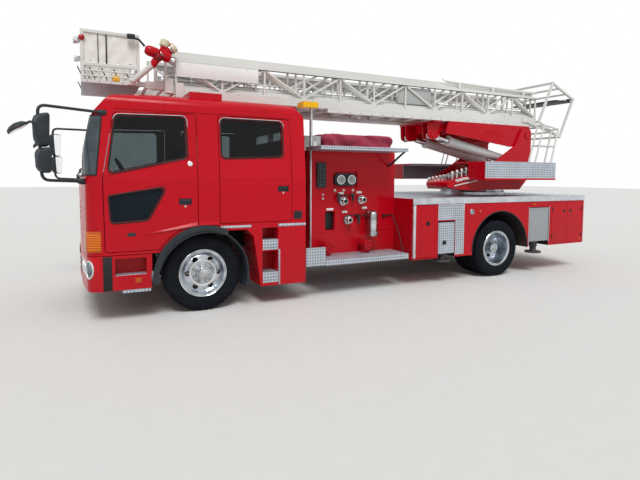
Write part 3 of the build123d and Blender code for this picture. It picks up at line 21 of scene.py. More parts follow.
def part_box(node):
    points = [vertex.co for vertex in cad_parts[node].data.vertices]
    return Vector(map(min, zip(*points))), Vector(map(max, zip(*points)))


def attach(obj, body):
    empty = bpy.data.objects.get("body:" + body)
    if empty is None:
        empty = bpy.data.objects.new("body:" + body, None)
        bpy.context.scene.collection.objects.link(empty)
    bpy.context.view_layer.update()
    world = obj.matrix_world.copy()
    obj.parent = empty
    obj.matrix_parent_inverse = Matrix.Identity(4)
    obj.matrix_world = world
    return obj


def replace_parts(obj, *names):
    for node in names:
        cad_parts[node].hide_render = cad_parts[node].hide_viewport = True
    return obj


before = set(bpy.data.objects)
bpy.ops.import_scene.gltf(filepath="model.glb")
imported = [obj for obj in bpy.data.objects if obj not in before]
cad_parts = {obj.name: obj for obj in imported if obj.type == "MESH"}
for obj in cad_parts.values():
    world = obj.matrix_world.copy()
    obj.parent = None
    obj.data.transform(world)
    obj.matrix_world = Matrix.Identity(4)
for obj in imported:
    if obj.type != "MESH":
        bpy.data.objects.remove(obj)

LOG = logging.getLogger("fire engine")
Point = Sequence[float]
SIDES = (("left", 1), ("right", -1))
AHEAD, ASTERN = Vector((1, 0, 0)), Vector((-1, 0, 0))
LEFT, UP = Vector((0, 1, 0)), Vector((0, 0, 1))


def middle(node: str) -> Vector:
    """The middle of a node of the frame.

    Args:
        node: The node's name.

    Returns:
        The centre of its box.
    """
    low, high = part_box(node)
    return (low + high) / 2


FRONT_AXLE_X = middle("front_rim_left").x
REAR_AXLE = middle("rear_rims_left").x - FRONT_AXLE_X
AXLE_Z = middle("front_tyre_left").z
FLANK = 1.150
DECK = 1.184
TAIL_X = -6.190
PIVOT = (-5.600, 2.180)
CLOTH_THICK = 0.0016
SIGHT_X, SIGHT_Y = 4.0, 3.0


def at(x: float, y: float, z: float) -> Vector:
    """A place in the frame from one given from the ground under the front axle."""
    return Vector((x + FRONT_AXLE_X, y, z))


def spoke(angle: float) -> Vector:
    """A unit way out from the middle of a wheel that faces sideways."""
    return Vector((math.cos(angle), 0, math.sin(angle)))


@dataclass
class Flank:
    """One side of the vehicle, which a sub-assembly dresses."""

    name: str
    side: int

    @property
    def out(self) -> Vector:
        """The way out of the flank."""
        return Vector((0, self.side, 0))

    def at(self, x: float, y: float, z: float) -> Vector:
        """A place on this side, at a distance from the middle."""
        return at(x, self.side * y, z)

    def tread(self, blank: Blank, corner: Point, long: float, high: float) -> None:
        """Raised bars on an upright sheet, from its rear low corner."""
        blank.lozenges(self.at(*corner), AHEAD * long, UP * high, self.out)

    def floor_tread(self, blank: Blank, corner: Point, long: float, wide: float) -> None:
        """Raised bars on a level sheet, from its rear inner corner."""
        blank.lozenges(self.at(*corner), AHEAD * long, self.out * wide, UP)

    def corners(self, x: Point, y: Point, z: Point) -> tuple[Vector, Vector]:
        """A box's low and high corner, from pairs of X, of distance from the middle and of Z."""
        low, high = sorted(self.side * far for far in y)
        return at(x[0], low, z[0]), at(x[1], high, z[1])


def linear(code: str) -> tuple[float, float, float, float]:
    """Turns an sRGB hex colour to linear.

    Args:
        code: The colour as six hex digits.

    Returns:
        Linear red, green, blue and an alpha of 1.
    """
    channels = [int(code[i:i + 2], 16) / 255 for i in (0, 2, 4)]
    red, green, blue = [c / 12.92 if c <= 0.04045 else ((c + 0.055) / 1.055) ** 2.4 for c in channels]
    return red, green, blue, 1.0


def put(
    tree: bpy.types.NodeTree,
    kind: str,
    values: Mapping[str | int, object] | None = None,
    **settings: object,
) -> bpy.types.Node:
    """Adds a node with its settings and links.

    Args:
        tree: The node tree.
        kind: The node's type.
        values: What each input takes, a value or another node's output.
        **settings: The node's own properties.

    Returns:
        The new node.
    """
    node = tree.nodes.new(kind)
    for name, value in settings.items():
        setattr(node, name, value)
    for name, value in (values or {}).items():
        if isinstance(value, bpy.types.NodeSocket):
            tree.links.new(value, node.inputs[name])
        else:
            node.inputs[name].default_value = value
    return node


def grain(tree: bpy.types.NodeTree, size: float, detail: float = 2.0,
          stretch: Point = (1, 1, 1)) -> bpy.types.NodeSocket:
    """A cloudy pattern fixed to the piece.

    Args:
        tree: The node tree.
        size: The width of one patch.
        detail: How much finer detail it carries.
        stretch: How far the pattern is drawn together along each axis.

    Returns:
        The pattern's output, from 0 to 1.
    """
    place = put(tree, "ShaderNodeTexCoord").outputs["Object"]
    scaled = put(tree, "ShaderNodeMapping", {"Vector": place, "Scale": stretch})
    values = {"Vector": scaled.outputs[0], "Scale": 1 / size, "Detail": detail}
    return put(tree, "ShaderNodeTexNoise", values).outputs["Fac"]


def between(tree: bpy.types.NodeTree, value: bpy.types.NodeSocket, low: float, high: float,
            to_low: float = 0.0, to_high: float = 1.0) -> bpy.types.NodeSocket:
    """Maps a value's range to another one, clamped at both ends."""
    values = {"Value": value, "From Min": low, "From Max": high, "To Min": to_low, "To Max": to_high}
    return put(tree, "ShaderNodeMapRange", values).outputs[0]


def blend(tree: bpy.types.NodeTree, share: bpy.types.NodeSocket, first: object,
          second: object) -> bpy.types.NodeSocket:
    """Mixes two colours by a share."""
    return put(tree, "ShaderNodeMix", {0: share, 6: first, 7: second}, data_type="RGBA").outputs[2]


def relief(tree: bpy.types.NodeTree, height: bpy.types.NodeSocket,
           depth: float) -> bpy.types.NodeSocket:
    """Turns a height pattern into a bumped normal."""
    values = {"Height": height, "Distance": depth, "Strength": 1.0}
    return put(tree, "ShaderNodeBump", values).outputs[0]


@dataclass(frozen=True)
class Finish:
    """A surface finish that makes its material once."""

    name: str
    colour: str

    def material(self) -> bpy.types.Material:
        """The finish's material, made on first use.

        Returns:
            The material.
        """
        made = bpy.data.materials.get(self.name)
        if made is None:
            made = bpy.data.materials.new(self.name)
            made.use_nodes = True
            made.node_tree.nodes.clear()
            surface = put(made.node_tree, "ShaderNodeBsdfPrincipled",
                          {"Base Color": linear(self.colour)})
            self.shade(made.node_tree, surface)
            put(made.node_tree, "ShaderNodeOutputMaterial", {"Surface": surface.outputs[0]})
            made.diffuse_color = linear(self.colour)
        return made

    def shade(self, tree: bpy.types.NodeTree, surface: bpy.types.Node) -> None:
        """Sets the surface's look."""
        raise NotImplementedError

    def set(self, tree: bpy.types.NodeTree, surface: bpy.types.Node,
            values: Mapping[str, object]) -> None:
        """Sets or links several of the surface's inputs.

        Args:
            tree: The material's node tree.
            surface: Its surface node.
            values: What each input takes, a value or a socket.
        """
        for name, value in values.items():
            if isinstance(value, bpy.types.NodeSocket):
                tree.links.new(value, surface.inputs[name])
            else:
                surface.inputs[name].default_value = value


@dataclass(frozen=True)
class Enamel(Finish):
    """Sprayed two-pack enamel under clear lacquer.

    The eye sees a deep even colour, a sharp reflection with a faint orange-peel ripple, and a film of
    road dust with painted shade that darkens it towards the ground.
    """

    dust: str = "5b4a44"
    dust_and_low_shade_share: float = 0.14
    dust_and_low_shade_top: float = 1.2
    roughness: float = 0.24
    coat: float = 0.12
    peel: float = 0.012
    peel_depth: float = 0.00005

    def shade(self, tree: bpy.types.NodeTree, surface: bpy.types.Node) -> None:
        """Colour clouds, dust and painted shade low down, and an orange-peel ripple drawn at 12 mm to
        show.

        Args:
            tree: The material's node tree.
            surface: Its surface node.
        """
        place = put(tree, "ShaderNodeTexCoord").outputs["Object"]
        height = put(tree, "ShaderNodeSeparateXYZ", {0: place}).outputs["Z"]
        # Road dust and painted shade: more of the dust colour towards the ground, none above the top
        # height.
        low = between(tree, height, 0.25, self.dust_and_low_shade_top, self.dust_and_low_shade_share, 0.0)
        clouds = between(tree, grain(tree, 0.35, 5.0), 0.3, 0.7, 0.35, 1.0)
        share = put(tree, "ShaderNodeMath", {0: low, 1: clouds}, operation="MULTIPLY").outputs[0]
        shaded = [c * 0.88 for c in linear(self.colour)[:3]] + [1.0]
        body = blend(tree, between(tree, grain(tree, 0.9, 3.0), 0.3, 0.7), linear(self.colour), shaded)
        self.set(tree, surface, {
            "Base Color": blend(tree, share, body, linear(self.dust)),
            "Roughness": between(tree, grain(tree, 0.08, 4.0), 0.3, 0.75, self.roughness * 0.8,
                                 self.roughness * 1.4),
            "Coat Weight": self.coat,
            "Coat Roughness": 0.06,
            "Specular IOR Level": 0.14,
            "Normal": relief(tree, grain(tree, self.peel), self.peel_depth),
        })


@dataclass(frozen=True)
class Rolled(Finish):
    """Rolled, drawn or brushed metal.

    The eye sees fine parallel streaks, a soft stretched highlight and duller patches where hands and
    boots have been.
    """

    roughness: float = 0.3
    streak: float = 0.004
    along: Point = (0.06, 1, 1)
    tarnish: str = "8b8d90"

    def shade(self, tree: bpy.types.NodeTree, surface: bpy.types.Node) -> None:
        """Streaks a few millimetres wide, stretched along the rolling, and cloudy tarnish.

        Args:
            tree: The material's node tree.
            surface: Its surface node.
        """
        lines = grain(tree, self.streak, 3.0, self.along)
        worn = between(tree, grain(tree, 0.12, 5.0), 0.42, 0.68)
        self.set(tree, surface, {
            "Base Color": blend(tree, worn, linear(self.colour), linear(self.tarnish)),
            "Metallic": 1.0,
            "Roughness": between(tree, lines, 0.25, 0.75, self.roughness * 0.75, self.roughness * 1.5),
            "Normal": relief(tree, lines, 0.00006),
        })


@dataclass(frozen=True)
class Plate(Finish):
    """Aluminium tread plate, rolled with raised lozenges.

    The eye sees a pale even grey with a small repeating diamond glint, and dirt between the lozenges.
    """

    pitch: float = 0.034
    dirt: str = "8b9299"

    def shade(self, tree: bpy.types.NodeTree, surface: bpy.types.Node) -> None:
        """A lattice of small diamonds, drawn a third coarser than the real 25 mm so that it shows.

        Args:
            tree: The material's node tree.
            surface: Its surface node.
        """
        place = put(tree, "ShaderNodeTexCoord").outputs["Object"]
        waves = []
        for row in ((1, 1, 1), (1, 0, -1)):
            run = put(tree, "ShaderNodeVectorMath",
                      {0: place, 1: [c * math.pi / self.pitch for c in row]},
                      operation="DOT_PRODUCT").outputs["Value"]
            waves.append(put(tree, "ShaderNodeMath", {0: run}, operation="SINE").outputs[0])
        lattice = put(tree, "ShaderNodeMath", {0: waves[0], 1: waves[1]},
                      operation="MULTIPLY").outputs[0]
        raised = between(tree, lattice, -0.2, 0.5)
        worn = between(tree, grain(tree, 0.2, 5.0), 0.4, 0.75, 0.0, 0.5)
        shade = put(tree, "ShaderNodeMath", {0: raised, 1: worn}, operation="MAXIMUM").outputs[0]
        self.set(tree, surface, {
            "Base Color": blend(tree, shade, linear(self.dirt), linear(self.colour)),
            "Metallic": 0.6,
            "Roughness": between(tree, grain(tree, 0.02, 3.0), 0.3, 0.7, 0.36, 0.52),
            "Normal": relief(tree, raised, 0.0006),
        })


@dataclass(frozen=True)
class Moulded(Finish):
    """Moulded plastic or rubber.

    The eye sees an even colour, a broad soft highlight and a fine pebbled grain.
    """

    roughness: float = 0.55
    pebble: float = 0.003
    depth: float = 0.0002
    faded: str = "4a4d50"
    faded_share: float = 0.35
    gloss: float = 0.35

    def shade(self, tree: bpy.types.NodeTree, surface: bpy.types.Node) -> None:
        """A pebbled grain of a few millimetres, and patches faded by the sun.

        Args:
            tree: The material's node tree.
            surface: Its surface node.
        """
        patches = between(tree, grain(tree, 0.15, 4.0), 0.35, 0.75, 0.0, self.faded_share)
        self.set(tree, surface, {
            "Base Color": blend(tree, patches, linear(self.colour), linear(self.faded)),
            "Roughness": between(tree, grain(tree, 0.03), 0.3, 0.7, self.roughness * 0.85,
                                 self.roughness * 1.15),
            "Specular IOR Level": self.gloss,
            "Normal": relief(tree, grain(tree, self.pebble), self.depth),
        })


@dataclass(frozen=True)
class Woven(Finish):
    """Coated woven cloth.

    The eye sees a matt colour, a fine square weave and a slight sheen at grazing angles, with painted
    shade in cloudy patches for its creases.
    """

    thread: float = 0.004
    shadow: str = "3a0d14"
    shadow_share: float = 0.4

    def shade(self, tree: bpy.types.NodeTree, surface: bpy.types.Node) -> None:
        """A plain weave, drawn at several threads to one so that it shows, and cloudy painted shadow
        for the shade in the creases.

        Args:
            tree: The material's node tree.
            surface: Its surface node.
        """
        place = put(tree, "ShaderNodeTexCoord").outputs["Object"]
        wave = {"Vector": place, "Scale": math.pi / (10 * self.thread)}
        warp = put(tree, "ShaderNodeTexWave", wave, bands_direction="X").outputs["Fac"]
        weft = put(tree, "ShaderNodeTexWave", wave, bands_direction="Z").outputs["Fac"]
        weave = put(tree, "ShaderNodeMath", {0: warp, 1: weft}, operation="MULTIPLY").outputs[0]
        # Painted shade: darker cloudy patches stand for the shade in the cloth's creases.
        clouds = between(tree, grain(tree, 0.10, 5.0), 0.3, 0.75, 0.0, self.shadow_share)
        self.set(tree, surface, {
            "Base Color": blend(tree, clouds, linear(self.colour), linear(self.shadow)),
            "Roughness": 0.8,
            "Sheen Weight": 0.2,
            "Normal": relief(tree, weave, 0.0003),
        })


@dataclass(frozen=True)
class Clear(Finish):
    """Float glass or clear lamp plastic.

    The eye sees through it, with a faint tint, a sharp reflection and a thin film of dust. Glass has an
    IOR of 1.5, taken down here so that the white studio doesn't veil the dark cabin.
    """

    ior: float = 1.25
    roughness: float = 0.0

    def shade(self, tree: bpy.types.NodeTree, surface: bpy.types.Node) -> None:
        """A clear tinted body, a little darker where a film of dust lies.

        Args:
            tree: The material's node tree.
            surface: Its surface node.
        """
        film = between(tree, grain(tree, 0.3, 6.0), 0.4, 0.8, 0.0, 0.5)
        dusty = [c * 0.72 for c in linear(self.colour)[:3]] + [1.0]
        self.set(tree, surface, {
            "Base Color": blend(tree, film, linear(self.colour), dusty),
            "Transmission Weight": 1.0,
            "IOR": self.ior,
            "Specular IOR Level": 0.25,
            "Roughness": self.roughness,
        })


RED = Enamel("vehicle_red_two_pack_enamel", "bd0219")
FRAME_BLACK = Enamel("chassis_black_brushed_enamel", "1b1c1e", dust_and_low_shade_share=0.4, roughness=0.5, coat=0.1)
ENGINE_GREY = Enamel("engine_grey_sprayed_enamel", "4b4e50", dust_and_low_shade_share=0.5, roughness=0.5, coat=0.0)
LADDER_WHITE = Enamel("ladder_white_sprayed_enamel", "dededa", dust="9a9892", roughness=0.4, coat=0.2)
BEAM_GREY = Enamel("outrigger_grey_sprayed_enamel", "45484b", dust_and_low_shade_share=0.4, roughness=0.45, coat=0.1)
LOCKER_SILVER = Enamel("cover_silver_sprayed_enamel", "9fa3a8", dust="77736f", roughness=0.36, coat=0.2)
BOX_GREY = Enamel("hose_box_grey_sprayed_enamel", "b3b7b4", roughness=0.45, coat=0.1)
LAMP_YELLOW = Enamel("lamp_yellow_sprayed_enamel", "f0b400", roughness=0.35, coat=0.3)
CAP_CREAM = Enamel("monitor_cream_sprayed_enamel", "d9d2b8", roughness=0.4, coat=0.2)
SIGN_WHITE = Enamel("sign_white_sprayed_enamel", "eceeed", dust_and_low_shade_share=0.0, roughness=0.35, coat=0.2)
CABIN_GREY = Moulded("cab_lining_moulded_vinyl", "8f8d86", roughness=0.7, faded="7c7a74")
DASH_BLACK = Moulded("dashboard_moulded_polypropylene", "26282b", roughness=0.6)
TREAD = Plate("tread_plate_rolled_aluminium", "ccd4df")
TRIM = Rolled("edge_trim_extruded_aluminium", "d3d7dc", roughness=0.36, tarnish="bec3c9")
WHEEL_PLATED = Rolled("wheel_plated_pressed_steel", "ccd2d9", roughness=0.2, tarnish="8e959d")
CHROME = Rolled("trim_chromed_brass", "e4e5e7", roughness=0.09, tarnish="c9cbcd")
STEEL = Rolled("fitting_drawn_stainless_steel", "c4c6c8", roughness=0.22)
SILVERED = Rolled("mirror_silvered_glass", "eef0f2", roughness=0.02, tarnish="e4e6e8")
ROPE = Rolled("hoist_rope_drawn_steel_wire", "9a9da0", roughness=0.4, along=(1, 1, 1))
DARK_PLASTIC = Moulded("flare_moulded_polypropylene", "20262c", faded="3d454c")
SEAL = Moulded("window_seal_extruded_rubber", "101214", roughness=0.5, faded="2b2d30")
RUBBER = Moulded("tyre_moulded_rubber", "0f1218", roughness=0.8, faded="20242b", faded_share=0.4,
                 gloss=0.12)
SEAT = Woven("seat_woven_vinyl_cloth", "2b2e32", shadow="151618")
CANVAS = Woven("hose_cover_proofed_cotton_canvas", "9c2340", shadow="5e1226")
BASKET_CLOTH = Woven("basket_coated_polyester_cloth", "e9e7e0", shadow="c3c1b8", shadow_share=0.5)
GLASS = Clear("window_float_glass", "8f9a9b")
AMBER = Moulded("indicator_moulded_amber_acrylic", "c4560a", roughness=0.12, faded="8a3605",
                faded_share=0.5)
AMBER_RIB = Moulded("indicator_rib_moulded_amber_acrylic", "f08a1c", roughness=0.12, faded="d06a10")
CLEAR_LENS = Moulded("headlamp_moulded_clear_acrylic", "dfe4e8", roughness=0.08, faded="b9c0c6")
TAIL_RED = Moulded("tail_lamp_moulded_red_acrylic", "a3080f", roughness=0.12, faded="7a060b")
# Opaque: the windscreen end's dark colour is painted shade of the cab seen through the glass, and its
# paler cloudy patches are painted reflection.
SCREEN_END = Moulded("windscreen_end_curved_glass", "333d43", roughness=0.06, depth=0.00002,
                     faded="6b777d", gloss=0.4)
# Opaque glass: its dark colour is painted shade of the cab behind the kerb window, and its slightly
# paler cloudy patches are painted reflection.
KERB_GLASS_PAINTED_SHADE = Moulded("kerb_window_float_glass_painted_shade", "0d1820", roughness=0.07, depth=0.00001,
                       faded="1b2a32", gloss=0.12)
# Under its lens nothing wears: the dark cloudy patches on this bowl are painted reflection.
LAMP_BOWL = Rolled("lamp_bowl_polished_under_acrylic", "8d969c", roughness=0.12, tarnish="33393e")
DIAL_WHITE = Moulded("gauge_face_printed_aluminium", "aab0ae", roughness=0.35, faded="8c9391")


class Body(Enum):
    """The frame's bodies that scene pieces ride on."""

    CHASSIS = "chassis"
    TURNTABLE = "turntable"
    BOOM = "boom"
    LADDER_2 = "ladder_2"
    LADDER_3 = "ladder_3"
    BASKET = "basket"


class Slot(Enum):
    """The record's material slots."""

    RED = "red_paint"
    GLASS = "glass"
    PLASTIC = "dark_plastic"
    LAMP = "lamp_plastic"
    STEEL = "bright_steel"
    TREAD = "tread_plate"
    CANVAS = "canvas"
    WHITE = "white_paint"
    CHROME = "chrome"
    CLOTH = "basket_cloth"
    TYRE = "tyre"
    BEAM = "outrigger_grey"


def rounded(table: Sequence[Point], steps: int = 5) -> list[Vector]:
    """An outline with rounded corners.

    Args:
        table: Rows of first and second coordinate and corner radius.
        steps: Points added at each corner.

    Returns:
        The outline's points, without the first one again at the end.
    """
    line = []
    for i, (u, v, radius) in enumerate(table):
        corner = Vector((u, v))
        before = (Vector(table[i - 1][:2]) - corner).normalized()
        after = (Vector(table[(i + 1) % len(table)][:2]) - corner).normalized()
        reach = radius / math.tan(before.angle(after) / 2)
        for step in range(steps + 1):
            t = step / steps
            line.append(corner + before * reach * (1 - t) ** 2 + after * reach * t ** 2)
    return line


def grown(line: Sequence[Vector], by: float) -> list[Vector]:
    """A closed flat outline let out by a distance.

    Args:
        line: The outline.
        by: How far it is let out.

    Returns:
        The larger outline, point for point.
    """
    count = len(line)
    area = sum(line[i].x * line[(i + 1) % count].y - line[(i + 1) % count].x * line[i].y
               for i in range(count))
    turn = by if area > 0 else -by
    ways = [(line[(i + 1) % count] - line[i - 1]).normalized() for i in range(count)]
    return [point + Vector((way.y, -way.x)) * turn for point, way in zip(line, ways)]


def close_spaced(line: Sequence[Vector], step: float) -> list[Vector]:
    """A closed flat outline with more points on its long runs.

    Args:
        line: The outline.
        step: About how far apart the points are to be.

    Returns:
        The outline with its added points.
    """
    result = []
    for i, first in enumerate(line):
        run = line[(i + 1) % len(line)] - first
        count = max(1, round(run.length / step))
        result += [first + run * (k / count) for k in range(count)]
    return result


class Skin:
    """The outside of some nodes, on which trim is laid."""

    def __init__(self, *nodes: str) -> None:
        """Gathers the nodes' faces.

        Args:
            *nodes: The nodes' names.
        """
        verts: list[Vector] = []
        faces: list[list[int]] = []
        for name in nodes:
            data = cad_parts[name].data
            start = len(verts)
            verts += [vert.co.copy() for vert in data.vertices]
            faces += [[start + i for i in face.vertices] for face in data.polygons]
        self.tree = BVHTree.FromPolygons(verts, faces)

    def seen_from(self, start: Vector, way: Vector) -> tuple[Vector, Vector]:
        """The first point that a line of sight meets, and the outward normal there.

        Args:
            start: Where the line starts.
            way: Its direction.

        Returns:
            The point and the normal that faces the start.
        """
        point, normal, _, _ = self.tree.ray_cast(start, way)
        if point is None:
            raise ValueError(f"nothing lies at {start} along {way}")
        return point, -normal if normal.dot(way) > 0 else normal

    def beside(self, x: float, z: float, side: int) -> tuple[Vector, Vector]:
        """The point and normal at a place seen from one side."""
        return self.seen_from(at(x, side * SIGHT_Y, z), Vector((0, -side, 0)))

    def ahead(self, y: float, z: float) -> tuple[Vector, Vector]:
        """The point and normal at a place seen from the front."""
        return self.seen_from(at(SIGHT_X, y, z), ASTERN)


class Blank:
    """A mesh in the making, to which each method adds one form."""

    def __init__(self) -> None:
        """Starts with nothing."""
        self.mesh = bmesh.new()

    def rings(self, loops: Sequence[Sequence[Vector]], closed: bool = False, caps: bool = True) -> None:
        """Skins between loops of points.

        Args:
            loops: Loops of as many points each, in order.
            closed: Whether the last loop joins the first.
            caps: Whether the end loops are filled.
        """
        rows = [[self.mesh.verts.new(point) for point in loop] for loop in loops]
        pairs = list(zip(rows, rows[1:])) + ([(rows[-1], rows[0])] if closed else [])
        for first, second in pairs:
            for i in range(len(first)):
                j = (i + 1) % len(first)
                self.mesh.faces.new((first[i], first[j], second[j], second[i]))
        if caps and not closed:
            self.mesh.faces.new(rows[0][::-1])
            self.mesh.faces.new(rows[-1])

    def stacked(self, rows: Sequence[Point], centre: Vector, axis: Vector, sides: int = 32,
                turn: float = 0.0) -> None:
        """A solid form of round or many-sided slices along an axis.

        Args:
            rows: Rows of (radius, distance along the axis).
            centre: Where the distance is 0.
            axis: The axis's direction.
            sides: Corners of each slice.
            turn: How far the corners are turned, in radians.
        """
        way = axis.normalized()
        side = way.orthogonal().normalized()
        up = way.cross(side)
        angles = [turn + 2 * math.pi * k / sides for k in range(sides)]
        self.rings([[centre + way * along + (side * math.cos(a) + up * math.sin(a)) * radius
                     for a in angles] for radius, along in rows])

    def rod(
        self, radius: float, low: float, high: float, centre: Vector, axis: Vector, sides: int = 32
    ) -> None:
        """A plain round or many-sided bar between two distances along an axis."""
        self.stacked([(radius, low), (radius, high)], centre, axis, sides)

    def turned(self, profile: Sequence[Point], centre: Vector, axis: Vector, steps: int = 48) -> None:
        """A ring turned about an axis from rows of (radius, distance), closed round the section.

        Args:
            profile: Rows of (radius, distance along the axis).
            centre: Where the distance is 0.
            axis: The axis's direction.
            steps: Slices round the ring.
        """
        way = axis.normalized()
        side = way.orthogonal().normalized()
        up = way.cross(side)
        loops = []
        for step in range(steps):
            angle = 2 * math.pi * step / steps
            out = side * math.cos(angle) + up * math.sin(angle)
            loops.append([centre + out * radius + way * along for radius, along in profile])
        self.rings(loops, closed=True)

    def pipe(self, points: Sequence[Vector], radius: float, sides: int = 8,
             closed: bool = False) -> None:
        """A round bar, seal or hose along a line of points, mitred at its corners.

        Args:
            points: The line.
            radius: The bar's radius.
            sides: Corners of its section.
            closed: Whether its ends meet.
        """
        loops = []
        last = len(points) - 1
        side = None
        for i, point in enumerate(points):
            after = points[(i + 1) % len(points)] if closed else points[min(i + 1, last)]
            before = points[i - 1] if closed else points[max(i - 1, 0)]
            way = (after - before).normalized()
            side = way.orthogonal() if side is None else side - way * side.dot(way)
            side.normalize()
            up = way.cross(side)
            angles = [2 * math.pi * k / sides for k in range(sides)]
            loops.append([point + (side * math.cos(a) + up * math.sin(a)) * radius for a in angles])
        self.rings(loops, closed=closed)

    def ribbon(self, hits: Sequence[tuple[Vector, Vector]], width: float, thick: float,
               closed: bool = False) -> None:
        """A flat strip laid on a surface along points with their normals.

        Args:
            hits: Points on the surface with their normals.
            width: The strip's width.
            thick: How far it stands out.
            closed: Whether its ends meet.
        """
        loops = []
        last = len(hits) - 1
        for i, (point, normal) in enumerate(hits):
            after = hits[(i + 1) % len(hits)][0] if closed else hits[min(i + 1, last)][0]
            before = hits[i - 1][0] if closed else hits[max(i - 1, 0)][0]
            across = normal.cross((after - before).normalized()).normalized() * width / 2
            low, high = normal * -0.001, normal * thick
            loops.append([point - across + low, point + across + low, point + across * 0.8 + high,
                          point - across * 0.8 + high])
        self.rings(loops, closed=closed)

    def block(self, low: Point, high: Point, bevel: float = 0.002) -> None:
        """A block between two corners with softened edges.

        Args:
            low: Its low corner.
            high: Its high corner.
            bevel: How far its edges are cut back.
        """
        made = bmesh.ops.create_cube(self.mesh, size=1.0)["verts"]
        size = Vector(high) - Vector(low)
        centre = (Vector(high) + Vector(low)) / 2
        for vert in made:
            vert.co = Vector((vert.co.x * size.x, vert.co.y * size.y, vert.co.z * size.z)) + centre
        if bevel > 0:
            edges = {edge for vert in made for edge in vert.link_edges}
            bmesh.ops.bevel(self.mesh, geom=list(edges), offset=bevel, segments=2, affect="EDGES",
                            profile=0.5)

    def plate(self, table: Sequence[Point], y0: float, y1: float) -> None:
        """A flat plate cut to an outline of (X, Z, corner radius) rows, between two places across."""
        line = rounded(table, 4)
        self.rings([[at(p.x, y, p.y) for p in line] for y in (y0, y1)])

    def slab(self, x0: float, x1: float, y: float, side: int, z0: float, z1: float,
             thick: float = 0.002) -> None:
        """A thin plate on a flank, standing proud of the plane at y."""
        self.block(at(x0, min(side * (y - 0.001), side * (y + thick)), z0),
                   at(x1, max(side * (y - 0.001), side * (y + thick)), z1),
                   bevel=min(0.0008, thick / 3))

    def lozenges(self, corner: Vector, along: Vector, up: Vector, out: Vector,
                 pitch: float = 0.034) -> None:
        """Raised tread bars in alternate directions over a rectangle.

        Args:
            corner: The rectangle's first corner.
            along: Its one edge, from the corner.
            up: Its other edge, from the corner.
            out: The way that the bars stand.
            pitch: Their spacing, a third coarser than the real 25 mm so that they show.
        """
        a, b, n = along.normalized(), up.normalized(), out.normalized()
        for i in range(int(along.length / pitch)):
            for j in range(int(up.length / pitch)):
                centre = corner + a * (i + 0.5) * pitch + b * (j + 0.5) * pitch
                long = (a + b if (i + j) % 2 else a - b).normalized() * pitch * 0.42
                short = n.cross(long).normalized() * pitch * 0.13
                base = [centre + w - n * 0.0004 for w in (long, short, -long, -short)]
                top = [centre + w * 0.6 + n * 0.0016 for w in (long, short, -long, -short)]
                self.rings([base, top])

    def cushion(self, low: Vector, high: Vector, boxy: float = 0.3) -> None:
        """A crowned pad whose sides pull in towards its corners.

        Args:
            low: Its low corner.
            high: Its high corner.
            boxy: From near 0 for a box to 1 for an egg.
        """
        centre, half = (low + high) / 2, (high - low) / 2

        def curved(value: float) -> float:
            """The pad's rounded square wave."""
            return math.copysign(abs(value) ** boxy, value)

        loops = []
        for row in range(1, 16):
            tilt = math.pi * (row / 16 - 0.5)
            ring = []
            for step in range(40):
                turn = 2 * math.pi * step / 40
                ring.append(centre + Vector((half.x * curved(math.cos(tilt)) * curved(math.cos(turn)),
                                             half.y * curved(math.cos(tilt)) * curved(math.sin(turn)),
                                             half.z * curved(math.sin(tilt)))))
            loops.append(ring)
        self.rings(loops)

    def made(self, name: str, finish: Finish, slot: Slot, body: Body | str = Body.CHASSIS, *,
             angle: float = 35.0) -> bpy.types.Object:
        """Ends the mesh and makes it a piece.

        Args:
            name: The piece's name.
            finish: Its finish.
            slot: The record's slot that its finish comes from; it is not used.
            body: The body that it rides on.
            angle: The steepest edge, in degrees, that is shaded smooth.

        Returns:
            The piece.
        """
        bmesh.ops.recalc_face_normals(self.mesh, faces=self.mesh.faces)
        for face in self.mesh.faces:
            face.smooth = True
        for edge in self.mesh.edges:
            edge.smooth = len(edge.link_faces) == 2 and edge.calc_face_angle(0.0) < math.radians(angle)
        data = bpy.data.meshes.new(name)
        self.mesh.to_mesh(data)
        self.mesh.free()
        data.materials.append(finish.material())
        piece = bpy.data.objects.new(name, data)
        bpy.context.scene.collection.objects.link(piece)
        carrier = body.value if isinstance(body, Body) else body
        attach(piece, carrier)
        LOG.info("%s: %d faces on %s", name, len(data.polygons), carrier)
        return piece


def thicken(piece: bpy.types.Object, offset: float) -> None:
    """Gives a sheet the thickness of coated cloth.

    Args:
        piece: The sheet.
        offset: -1 to grow inward, 0 to grow both ways.
    """
    cloth = piece.modifiers.new("cloth", "SOLIDIFY")
    cloth.thickness = CLOTH_THICK
    cloth.offset = offset


Test = Callable[[Vector, Vector], bool]


